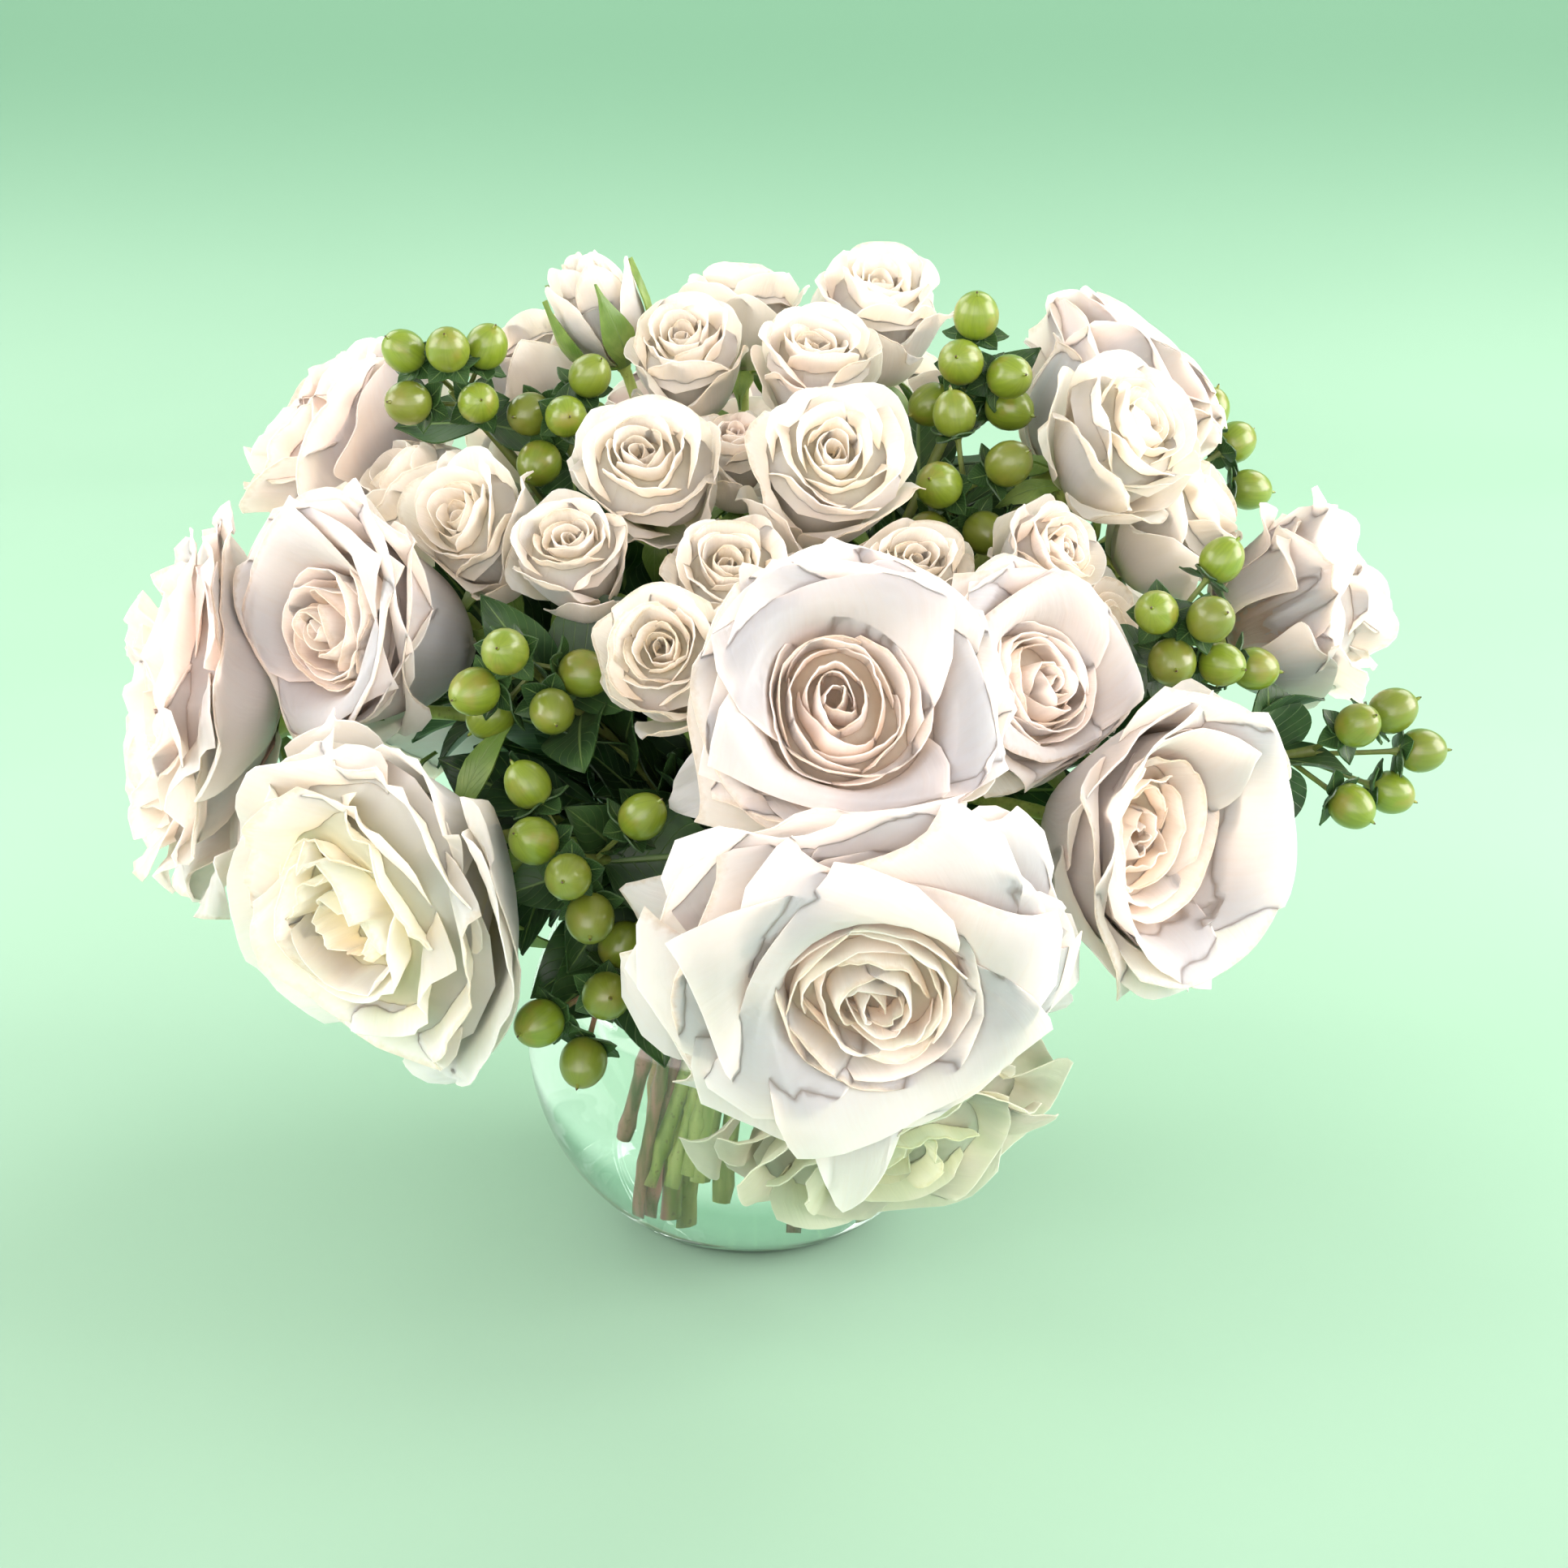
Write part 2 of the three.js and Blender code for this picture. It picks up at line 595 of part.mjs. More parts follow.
/** A stem's line from its cut end, straight through the neck, and then in a bow to its goal. */
function stemLine({ cut, neck, end, arrival }) {
  const leaving = neck.clone().sub(cut).normalize();
  const far = end.distanceTo(neck);
  const level = THREE.MathUtils.clamp(STEEP - (end.z - neck.z) / far, 0, MOST_LEVEL);
  const bow = new THREE.CubicBezierCurve3(
    neck,
    neck.clone().addScaledVector(leaving, far * (BOW_OUT + STEEPER * level)),
    end.clone().addScaledVector(arrival, -far * BOW_IN),
    end,
  );
  return [cut, ...bow.getPoints(level > 0.4 ? 4 : 3)];
}

/** A bloom's stem, which ends in the green cup that the bloom sits on. */
function withCup(line, head) {
  const under = (drop) => head.base.clone().addScaledVector(head.axis, -drop);
  const cup = (CALYX_SHARE * head.wide) / 2;
  const points = [...line.slice(0, -1), under(cup * CUP_LONG), under(GAP)];
  const radii = [...points.slice(1).map(() => STEM_RADIUS), cup];
  return { points, radii, head };
}

/** The tubes of one stem: straight to a garden rose, or to a fork and on to each bloom of a spray. */
function tubesOf(strand) {
  const line = stemLine(strand);
  if (strand.heads.length === 1) return [withCup(line, strand.heads[0])];
  const radius = strand.heads.length ? STEM_RADIUS : BERRY_STEM_RADIUS;
  const branches = strand.heads.map((head) => {
    const apart = head.base.distanceTo(strand.end);
    const way = new THREE.QuadraticBezierCurve3(
      strand.end.clone().addScaledVector(strand.arrival, -1),
      head.base.clone().addScaledVector(head.axis, -apart * 0.5),
      head.base,
    );
    return withCup(way.getPoints(1), head);
  });
  return [{ points: line, radii: line.map(() => radius) }, ...branches];
}

/** Sepals that stand up round a bud. */
function sepals(head) {
  const at = (r, z, turn) =>
    vec((head.wide / 2) * r * Math.cos(turn), (head.wide / 2) * r * Math.sin(turn), head.deep * z);
  return [1.2, 4.2].map((turn) => {
    const rows = [
      [at(0.06, -0.08, turn)],
      [at(0.8, 0.2, turn - 0.34), at(1.02, 0.16, turn), at(0.8, 0.2, turn + 0.34)],
      [at(1.3, 0.62, turn)],
    ];
    return blade(inFrame(rows, head), LEAF);
  });
}

const bundles = bundlesInNeck();
const stems = bundles.flatMap((bundle, index) =>
  dealt(bundle, strandsOf(bundle, index))
    .flatMap(tubesOf)
    .map((stem) => ({ ...stem, node: bundle.name })),
);

/** A bloom or cluster less a channel round every stem, other than its own, that runs through it. */
function clearOfStems(solid, head) {
  const cuts = stems
    .filter((stem) => stem.head !== head && stem.node !== head.name)
    .map(({ points, radii }) => tube(points, radii.map((r) => r + GAP), STEM_SIDES))
    .filter((cut) => cut.intersect(solid).volume() > 0);
  return largest(cuts.length ? solid.subtract(Manifold.union(cuts)) : solid);
}

// ---------------------------------------------------------------- hypericum

/** Where a cluster's berries hang: right and up of the fork, and out by what their reach leaves,
 * then pushed apart, and away from the neighbours' room, until none touches another. */
function berryPlaces({ middle: fork, side, berries, cell }) {
  const places = berries.map(([right, up]) => {
    const depth = Math.sqrt(Math.max(0, BERRY_REACH ** 2 - right ** 2 - up ** 2));
    return fork.clone().add(vec(right, side * depth, up));
  });
  for (let round = 0; round < BERRY_SETTLING; round++) {
    places.forEach((a, i) => {
      places.slice(i + 1).forEach((b) => {
        const apart = b.clone().sub(a);
        const short = BERRY_ROOM - apart.length();
        if (short > 0) {
          apart.setLength(short / 2);
          a.sub(apart);
          b.add(apart);
        }
      });
      for (const [normal, offset] of cell) {
        const short = offset + BERRY_ROOM / 2 - normal.dot(a);
        if (short > 0) a.addScaledVector(normal, short);
      }
    });
  }
  return places;
}

/** A berry, and its stalk from the stem. */
function berry(start, middle) {
  const way = middle.clone().sub(start).normalize();
  const round = new THREE.SphereGeometry(BERRY_WIDE / 2, 5, 3).scale(1, BERRY_LONG / BERRY_WIDE, 1);
  const turn = new THREE.Quaternion().setFromUnitVectors(vec(0, -1, 0), way);
  round.applyMatrix4(new THREE.Matrix4().compose(middle, turn, vec(1, 1, 1)));
  const stalkEnd = middle.clone().addScaledVector(way, STALK_SUNK - BERRY_LONG / 2);
  return [solidOf(round), tube([start, stalkEnd], [STALK, STALK], 3)];
}

/** A leaf from a point along a way, with its face turned to a normal. */
function leaf(from, way, normal, long, wide) {
  const across = way.clone().cross(normal).normalize();
  const face = across.clone().cross(way).normalize();
  const at = (share, side, rise) =>
    from
      .clone()
      .addScaledVector(way, long * share)
      .addScaledVector(across, (wide / 2) * side)
      .addScaledVector(face, long * rise);
  return blade(
    [
      [at(-0.08, 0, 0)],
      [at(0.3, -0.9, 0.1), at(0.3, 0, 0.03), at(0.3, 0.9, 0.1)],
      [at(0.66, -0.8, 0.08), at(0.66, 0, 0.02), at(0.66, 0.8, 0.08)],
      [at(1, 0, -0.1)],
    ],
    LEAF,
  );
}

/** A hypericum: its stem, and its berries and leaves. */
function hypericum(head) {
  const { middle: fork, leaves } = head;
  const { points, radii } = stems.find((stem) => stem.node === head.name);
  const down = points[points.length - 2].clone().sub(fork).normalize();
  const parts = berryPlaces(head).flatMap((place, i) =>
    berry(fork.clone().addScaledVector(down, 1 + STALK_STEP * i), place));
  for (const [tip, wide] of leaves) {
    const way = vec(...tip);
    const long = way.length();
    const out = fork.clone().sub(HUB).normalize();
    const from = fork.clone().addScaledVector(down, LEAF_DROP);
    parts.push(trimmed(leaf(from, way.normalize(), out, long, wide), head.cell));
  }
  return Manifold.union([tube(points, radii, STEM_SIDES), ...parts]);
}

// ---------------------------------------------------------------- bowl and water

const centreHeight = Math.sqrt(BOWL_RADIUS ** 2 - FOOT_RADIUS ** 2);
const neckHeight = centreHeight + Math.sqrt(BOWL_RADIUS ** 2 - NECK_RADIUS ** 2);

/** Points on a sphere about the bowl's middle, between two heights, as [radius, height]. */
function arc(radius, low, high, steps) {
  const [from, to] = [low, high].map((z) => Math.asin((z - centreHeight) / radius));
  return Array.from({ length: steps + 1 }, (_, i) => {
    const angle = from + ((to - from) * i) / steps;
    return [radius * Math.cos(angle), centreHeight + radius * Math.sin(angle)];
  });
}

function bowl() {
  const inner = BOWL_RADIUS - GLASS;
  const top = neckHeight + LIP_RISE;
  return turned(
    [
      [0, 0],
      ...arc(BOWL_RADIUS, 0, neckHeight, 6),
      [NECK_RADIUS + LIP_OUT, top],
      [NECK_RADIUS + LIP_OUT - GLASS, top],
      ...arc(inner, GLASS_BASE, neckHeight, 5).reverse(),
      [0, GLASS_BASE],
    ],
    BOWL_SIDES,
  );
}

function water() {
  const radius = BOWL_RADIUS - GLASS - GAP * 1.6;
  const low = GLASS_BASE + GAP;
  const body = turned([[0, low], ...arc(radius, low, WATER_TOP, 4), [0, WATER_TOP]], BOWL_SIDES);
  const holes = bundles.map((bundle) => {
    const single = bundle.goals.length === 1;
    const slim = BERRY_STEM_RADIUS + HOLE_ROOM;
    const bottom = single ? slim : (BUNDLE_SPREAD + STEM_RADIUS) * HOLE_WIDER;
    const top = single ? slim : BUNDLE_ROOM + HOLE_ROOM;
    const line = [lifted(footOf(bundle), CUT_LOW - 1.5), lifted(bundle.place, BINDING)];
    return tube(line, [bottom, top], single ? 4 : 6);
  });
  return body.subtract(Manifold.union(holes));
}

// ---------------------------------------------------------------- the centrepiece

const centrepiece = new THREE.Group();
centrepiece.name = "centrepiece";

function add(name, solid, look, head) {
  const matrix = head ? frameOf(head) : new THREE.Matrix4();
  const mesh = new THREE.Mesh(geometryOf(solid, matrix.clone().invert()), look);
  mesh.name = name;
  if (head) {
    mesh.position.copy(head.base);
    mesh.quaternion.copy(head.turn);
  }
  centrepiece.add(mesh);
}

const look = (color, roughness, more = {}) =>
  new THREE.MeshStandardMaterial({ color, roughness, metalness: 0, ...more });
const ivory = look(IVORY, 0.6);
const cream = look(CREAM, 0.6);
const green = look(STEM_GREEN, 0.65);
const berryGreen = look(BERRY_GREEN, 0.35);

add("bowl", bowl(), look(GLASS_TINT, 0.05, { transparent: true, opacity: 0.3 }));
add("water", water(), look(WATER_TINT, 0.05, { transparent: true, opacity: 0.5 }));

for (const head of blooms) {
  add(head.name, clearOfStems(bloom(head), head), head.wide < SMALL_HEAD ? cream : ivory, head);
}
for (const name of Object.keys(BUNDLES)) {
  const own = stems.filter((stem) => stem.node === name);
  const tubes = own.map(({ points, radii }) => tube(points, radii, STEM_SIDES));
  const buds = own.filter(({ head }) => head?.form === "bud").map(({ head }) => head);
  add(name, fused([...tubes, ...buds.flatMap(sepals)]), green);
}
for (const head of clusters) {
  add(head.name, clearOfStems(hypericum(head), head), berryGreen);
}

export default centrepiece;
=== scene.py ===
"""A floral table centrepiece: white garden roses, white spray roses and green hypericum berries,
standing in water in a round clear glass bowl. Lengths are in millimetres here and become metres
when a mesh is made. +Z is up, and the side seen first faces -Y.
"""

import cmath
import math

import bpy
import numpy as np
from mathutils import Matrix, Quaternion, Vector


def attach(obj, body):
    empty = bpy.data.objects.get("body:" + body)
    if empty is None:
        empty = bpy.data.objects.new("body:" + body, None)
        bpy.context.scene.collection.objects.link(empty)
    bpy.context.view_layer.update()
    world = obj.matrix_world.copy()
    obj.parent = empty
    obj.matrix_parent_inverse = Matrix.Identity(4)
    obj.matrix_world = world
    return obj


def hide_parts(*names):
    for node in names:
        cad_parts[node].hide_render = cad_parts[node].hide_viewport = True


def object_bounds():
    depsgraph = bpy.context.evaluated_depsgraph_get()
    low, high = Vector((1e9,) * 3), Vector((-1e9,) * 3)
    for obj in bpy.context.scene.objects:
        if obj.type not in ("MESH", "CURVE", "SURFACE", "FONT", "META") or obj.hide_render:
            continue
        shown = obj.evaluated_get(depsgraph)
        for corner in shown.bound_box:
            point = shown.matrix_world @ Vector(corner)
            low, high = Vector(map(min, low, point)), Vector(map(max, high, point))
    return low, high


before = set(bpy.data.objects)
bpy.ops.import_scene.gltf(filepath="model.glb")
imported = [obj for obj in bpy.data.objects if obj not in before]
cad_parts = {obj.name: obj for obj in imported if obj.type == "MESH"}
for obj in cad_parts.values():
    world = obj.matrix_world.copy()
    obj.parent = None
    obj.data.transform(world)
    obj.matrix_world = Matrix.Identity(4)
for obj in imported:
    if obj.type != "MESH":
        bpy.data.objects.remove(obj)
cad_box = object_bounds()

MM = 0.001  # metres in a millimetre

# ---------------------------------------------------------------- sizes

BOWL_RADIUS = 70
FOOT_RADIUS = 36
NECK_RADIUS = 46
LIP_OUT = 3
LIP_RISE = 4
GLASS = 3
GLASS_BASE = 5
WATER_TOP = 92
CENTRE_HEIGHT = math.sqrt(BOWL_RADIUS**2 - FOOT_RADIUS**2)
NECK_HEIGHT = CENTRE_HEIGHT + math.sqrt(BOWL_RADIUS**2 - NECK_RADIUS**2)
ROUND_SIDES = 96
WALL_STEPS = 40

# In the neck: the hub that the stems spread from, the height where bundles lean on each other, and
# how far out a bundle or a hypericum stem starts and how much room it takes there.
HUB = np.array([0.0, 5.0, 108.0])
BINDING = 104
NECK_ROOM = 41
BUNDLE_OUT = 26
BUNDLE_ROOM = 7.4
BERRY_OUT = 35
SINGLE_ROOM = 2.1
NECK_SETTLING = 600

# Below the neck: how a bundle turns and spreads, and how each stem in it slants and is cut.
STEM_RADIUS = 2.1
BERRY_STEM_RADIUS = 1.7
TWIST = math.radians(-32)
SPREAD = 1.2
BUNDLE_SPREAD = 6
LEAN = 0.6
SPLAY = 9
CUT_LOW = 12
CUT_SPREAD = 0.24
WALL_ROOM = 9
LOW_STEPS = 22
NODE_STEP = 5

# Above the neck: where a spray forks on its way back to the hub, and how a stem bows, more where
# it runs level.
FORK = 0.36
BOW_OUT = 0.38
BOW_IN = 0.34
STEEP = 0.65
STEEPER = 0.66
MOST_LEVEL = 0.85
BOW_STEPS = 16

# The green cup under a bloom: its radius and length, and its outline from its foot up, as (share
# of the length that is left, share of the radius).
CALYX_SHARE = 0.2
CUP_LONG = 1.6
CUP_OUTLINE = [(0.62, 0.62), (0.42, 0.8), (0.22, 0.78), (0.08, 0.92), (0, 1)]
SEPALS = 5
SEPAL_TURN = 2 * math.pi / SEPALS

# Berries, their stalks and the leaves below them.
BERRY_LONG = 14.5
BERRY_WIDE = 13
BERRY_REACH = 21
BERRY_ROOM = 15.4
BERRY_SETTLING = 60
BERRY_RINGS = 16
CLUSTER_WIDE = 46
STALK_RADII = [0.8] * 5 + [0.88, 1.52]
STALK_STEP = 2
BERRY_SEPAL_WIDE = 8
LEAF_DROP = 15
LEAF_THICK = 0.5
SEPAL_THICK = 0.7

# Leaves that fill the room between blooms: how many each stem has, how long and wide, how low.
LEAVES_EACH = 13
LEAF_TRIES = 320
LEAF_LOW = 112
ROSE_LEAF = (46, 30)
HYPERICUM_LEAF = (36, 24)
LEAF_FOOT_ROWS = 4
CLEAR_OF_BLOOM = 0.85
CLEAR_OF_BERRY = BERRY_WIDE * 0.62

# Blooms among their neighbours: the gap, how near they matter, and how softly they give way.
GAP = 0.35
NEAR = 1.35
SWAY = 0.03
SWAY_WAYS = np.array([[0.11, 0.07, -0.09], [-0.06, 0.13, 0.08]])
EASING = 0.4
SMALL_HEAD = 51  # a narrower bloom has the smaller petals

# Garden roses: name, middle of the head [x, y, z], [heading, rise] that it faces in degrees,
# diameter, height, form, roll. Heading 0 faces -Y and 90 faces +X.
GARDEN_ROSES = [
    ["rose_far_left", [-161, -16, 170], [-74, 8], 104, 42, "open", 10],
    ["rose_left", [-107, -32, 198], [-42, 14], 74, 60, "cup", 30],
    ["rose_upper_left", [-125, 58, 228], [-108, 34], 76, 52, "cup", 60],
    ["rose_left_inner", [-96, 24, 223], [-80, 46], 50, 40, "spray", 15],
    ["rose_lower_left", [-95, -92, 138], [-36, -6], 112, 48, "open", 45],
    ["rose_front", [25, -104, 191], [6, 26], 78, 50, "cup", 20],
    ["rose_low_front", [31, -134, 133], [12, -12], 114, 50, "open", 75],
    ["rose_front_inner", [74, -64, 188], [34, 24], 66, 46, "cup", 50],
    ["rose_right_front", [109, -80, 151], [40, 6], 75, 52, "cup", 5],
    ["rose_far_right", [164, 10, 194], [96, 18], 68, 48, "cup", 35],
    ["rose_upper_right", [110, 50, 244], [112, 44], 68, 50, "cup", 25],
    ["rose_under_front", [39, -106, 79], [16, -42], 88, 40, "open", 0],
    ["rose_right_inner", [97, -13, 186], [62, 34], 45, 36, "spray", 70],
    ["rose_right_upper", [126, 16, 216], [84, 38], 48, 40, "spray", 40],
    ["rose_back", [-4, 136, 148], [178, 10], 96, 50, "cup", 20],
    ["rose_back_right", [90, 112, 152], [140, 12], 84, 52, "cup", 55],
    ["rose_back_left", [-92, 112, 150], [-140, 10], 88, 50, "cup", 80],
    ["rose_back_low", [24, 108, 78], [165, -36], 80, 38, "open", 30],
    ["rose_back_upper", [-22, 112, 216], [-172, 40], 66, 48, "cup", 65],
]

# Spray roses, spray by spray, since each stem forks to its own: the garden roses' columns.
SPRAYS = {
    "spray_top_left": [
        ["spray_bud_top_left", [-47, 48, 277], [-70, 66], 29, 36, "bud", 0],
        ["spray_rose_top_far", [-68, 68, 256], [-120, 50], 36, 32, "spray", 40],
    ],
    "spray_top": [
        ["spray_rose_top", [-19, 33, 261], [-12, 62], 40, 36, "spray", 15],
        ["spray_rose_top_back", [-4, 82, 269], [-170, 74], 44, 32, "spray", 50],
    ],
    "spray_top_right": [
        ["spray_rose_high", [40, 56, 272], [30, 74], 48, 36, "spray", 30],
        ["spray_rose_top_front", [20, 25, 259], [4, 58], 38, 38, "spray", 70],
    ],
    "spray_left": [
        ["spray_rose_left", [-77, -22, 223], [-40, 36], 46, 36, "spray", 20],
        ["spray_rose_left_small", [-49, -44, 218], [-14, 46], 38, 34, "spray", 60],
    ],
    "spray_middle": [
        ["spray_rose_middle", [-28, -22, 238], [-6, 42], 46, 38, "spray", 45],
        ["spray_rose_middle_right", [22, -26, 238], [10, 46], 50, 42, "spray", 5],
        ["spray_rose_middle_inner", [-4, 10, 236], [0, 64], 28, 30, "spray", 35],
    ],
    "spray_front": [
        ["spray_rose_front_upper", [-5, -50, 214], [4, 48], 38, 34, "spray", 25],
        ["spray_rose_front", [-20, -82, 199], [-14, 34], 40, 36, "spray", 55],
        ["spray_rose_front_right", [44, -42, 212], [24, 46], 36, 34, "spray", 80],
    ],
    "spray_right": [
        ["spray_rose_right_small", [83, -36, 216], [40, 38], 34, 32, "spray", 10],
        ["spray_rose_right", [106, 0, 243], [44, 42], 50, 40, "spray", 65],
    ],
    "spray_back": [
        ["spray_rose_back", [50, 102, 236], [150, 50], 44, 34, "spray", 0],
        ["spray_rose_back_left", [-74, 106, 222], [-145, 46], 42, 34, "spray", 40],
    ],
}

# Outer petals that hang loose: bloom, how far right, back and up of its middle the tip is, width.
LOOSE_PETALS = [
    ["rose_far_left", [16, -34, -58], 34],
    ["rose_front", [-48, 8, -28], 36],
    ["rose_front", [-25, 4, 41], 38],
    ["rose_front", [40, 2, 6], 38],
    ["rose_front", [4, -4, -42], 40],
    ["rose_low_front", [-66, 14, 14], 46],
    ["rose_low_front", [-54, 2, -14], 40],
    ["rose_low_front", [-4, -8, -70], 42],
    ["rose_low_front", [52, -2, 8], 44],
    ["rose_low_front", [58, 18, -20], 40],
    ["rose_right_front", [-30, 6, -42], 34],
    ["rose_under_front", [46, -6, -2], 34],
    ["rose_under_front", [-38, 2, 10], 34],
    ["rose_upper_left", [-16, -14, 28], 34],
    ["rose_far_right", [8, -8, 38], 34],
    ["rose_upper_right", [-16, -16, 30], 34],
]

# Which roses' and sprays' stems lean on each other in the neck, bundle by bundle.
BUNDLES = {
    "stems_front": ["rose_lower_left", "rose_low_front", "rose_under_front", "spray_front"],
    "stems_left": ["rose_far_left", "rose_left", "rose_upper_left", "rose_left_inner", "spray_left",
                   "spray_top_left"],
    "stems_middle": ["rose_front", "spray_middle", "spray_top", "spray_top_right"],
    "stems_right": ["rose_front_inner", "rose_right_front", "rose_right_inner", "rose_far_right",
                    "rose_upper_right", "rose_right_upper", "spray_right"],
    "stems_back": ["rose_back", "rose_back_right", "rose_back_left", "rose_back_low",
                   "rose_back_upper", "spray_back"],
}

# Hypericum: name, the fork that the berries' stalks leave, the [heading, rise] that the stem comes
# to it by, the side the berries turn to (-1 front, 1 back), how far right and up of the fork each
# berry hangs, and the leaves as tip offsets [right, back, up] and widths.
HYPERICUM = [
    ["berries_top_left", [-90, 28, 256], [-60, 48], -1,
     [[-7, 13], [1, 14], [10, 14], [-11, 0], [13, -2]],
     [[[-28, 4, -2], 18], [[26, 4, -8], 18]]],
    ["berries_top_left_inner", [-60, 32, 250], [-80, 72], -1,
     [[-15, -1], [5, 1], [12, 11], [-4, -12]],
     [[[4, -20, -16], 18]]],
    ["berries_top_right", [68, 34, 262], [100, 68], -1,
     [[-1, 17], [-5, 4], [8, 0], [-14, -13], [10, -14]],
     [[[26, 8, 18], 14]]],
    ["berries_middle_right", [64, 4, 232], [88, 66], -1,
     [[-4, 22], [15, 9], [-11, 3], [-12, -13], [5, -12], [24, -15]],
     [[[26, 16, 14], 20]]],
    ["berries_left", [-62, -62, 196], [-43, 46], -1,
     [[-3, 7], [20, -3], [-12, -5], [-11, -19], [9, -11]],
     [[[36, 8, 18], 30], [[-20, 4, 26], 14]]],
    ["berries_front_left", [-46, -92, 148], [-25, 24], -1,
     [[-13, 21], [-13, 7], [-3, 3], [4, -10], [18, 12]],
     [[[34, 2, 2], 26], [[-28, -6, -8], 16]]],
    ["berries_low_left", [-44, -86, 106], [-26, 0], -1,
     [[9, 21], [6, 7], [-13, -2], [-1, -14]],
     [[[22, -12, -16], 18]]],
    ["berries_right", [120, -36, 200], [71, 84], -1,
     [[-5, 7], [14, 18], [7, 5], [-1, -8], [12, -8], [25, -14]],
     [[[-24, -14, 8], 18], [[16, -18, -28], 18]]],
    ["berries_far_right", [166, -24, 158], [80, 20], -1,
     [[9, 12], [23, 11], [30, 0], [24, -12], [9, -13]],
     [[[0, 3, 24], 26], [[-3, -2, -26], 28]]],
    ["berries_upper_right", [140, 72, 222], [112, 40], 1,
     [[6, 20], [16, 8], [20, -6], [0, 2]],
     [[[10, 22, -26], 18]]],
    ["berries_back", [44, 140, 196], [162, 34], 1,
     [[-14, 8], [0, 18], [14, 6], [0, -12]],
     [[[-32, 10, -6], 20]]],
    ["berries_back_left", [-138, 66, 172], [-114, 26], 1,
     [[-14, 14], [2, 14], [-16, -4], [0, -10]],
     [[[-12, 28, -24], 20]]],
]

# ---------------------------------------------------------------- layout


def unit(v):
    return v / np.linalg.norm(v)


def facing(way):
    """The way that a heading and a rise in degrees point."""
    heading, rise = np.radians(way)
    level = math.cos(rise)
    return np.array([math.sin(heading) * level, -math.cos(heading) * level, math.sin(rise)])


def hash_of(name):
    """A number of a name's own, the same in every run."""
    total = 7
    for letter in name:
        total = (total * 31 + ord(letter)) % 1_000_003
    return total


def draws_of(name, more=0):
    """The random draws of a bloom, a bundle or a stem, the same in every run."""
    return np.random.default_rng(hash_of(name) + more)


def noise(seed):
    """A number from 0 to 1 that always goes with its seed."""
    wave = math.sin(seed * 91.7 + 11.3) * 4375.5
    return wave - math.floor(wave)


class Head:
    """One bloom's or cluster's place, way and room."""

    def __init__(self, name, middle, way, wide, deep, form, roll):
        self.name, self.form, self.wide, self.deep = name, form, wide, deep
        self.axis = facing(way)
        self.middle = np.array(middle, float)
        self.base = self.middle - self.axis * deep / 2
        tip = Vector((0, 0, 1)).rotation_difference(Vector(self.axis))
        turn = tip @ Quaternion((0, 0, 1), math.radians(roll))
        self.turn = np.array(turn.to_matrix())
        self.cell = []

    def reach_along(self, along):
        c = self.axis @ along
        return math.hypot(self.wide / 2 * math.sqrt(max(0, 1 - c * c)), self.deep / 2 * c)


blooms = [Head(*row) for row in GARDEN_ROSES + sum(SPRAYS.values(), [])]
clusters = [Head(name, fork, way, CLUSTER_WIDE, CLUSTER_WIDE, "berries", 0)
            for name, fork, way, *_ in HYPERICUM]
heads = {head.name: head for head in blooms + clusters}


def cell_of(head):
    """The borders, as (normal, offset, sway, phase), that keep a head clear of its neighbours: it
    keeps the side that each normal points to. Two heads share the distance between them by their
    reach, and the border between two blooms sways a little."""
    borders = []
    for other in heads.values():
        if other is head:
            continue
        along = other.middle - head.middle
        apart = np.linalg.norm(along)
        along = along / apart
        own, others = head.reach_along(along), other.reach_along(along)
        if apart > (own + others) * NEAR:
            continue
        at = apart * own / (own + others) - GAP / 2
        sway = 0 if "berries" in (head.form, other.form) else SWAY * min(head.wide, other.wide)
        if head.name > other.name:
            sway = -sway
        phase = 2 * math.pi * noise(hash_of(head.name) + hash_of(other.name))
        borders.append((-along, -along @ (head.middle + along * at), sway, phase))
    return borders


def eased(points, head):
    """A bloom's points drawn in evenly towards its middle on each side where a neighbour is near,
    so that it stays round there."""
    for normal, offset, _, _ in head.cell:
        out = (head.middle - points) @ normal
        room = head.middle @ normal - offset
        far = out.max()
        if far > room:
            share = np.clip(out / far, 0, 1) ** 1.5
            points = points + (EASING * (far - room) * share)[..., None] * normal
    return points


def kept_inside(points, cell, margin):
    """Points that press softly against the borders of a cell, and never pass them."""
    for normal, offset, sway, phase in cell:
        flat = points - (points @ normal)[..., None] * normal
        wave = np.sin(flat @ SWAY_WAYS[0] + phase) + 0.6 * np.sin(flat @ SWAY_WAYS[1] - phase)
        depth = points @ normal - offset + sway * wave
        soft = margin * np.exp((np.minimum(depth, margin) - margin) / margin)
        points = points + np.where(depth < margin, soft - depth, 0)[..., None] * normal
    return points


for head in heads.values():
    head.cell = cell_of(head)

# ---------------------------------------------------------------- stems' lines


def goal_of(name):
    """What one stem runs to: a garden rose or the fork of a spray."""
    if name in heads:
        head = heads[name]
        return {"name": name, "heads": [head], "end": head.base, "arrival": head.axis}
    own = [heads[row[0]] for row in SPRAYS[name]]
    middle = sum(head.base for head in own) / len(own)
    end = middle + (HUB - middle) * FORK
    return {"name": name, "heads": own, "end": end, "arrival": unit(middle - HUB)}


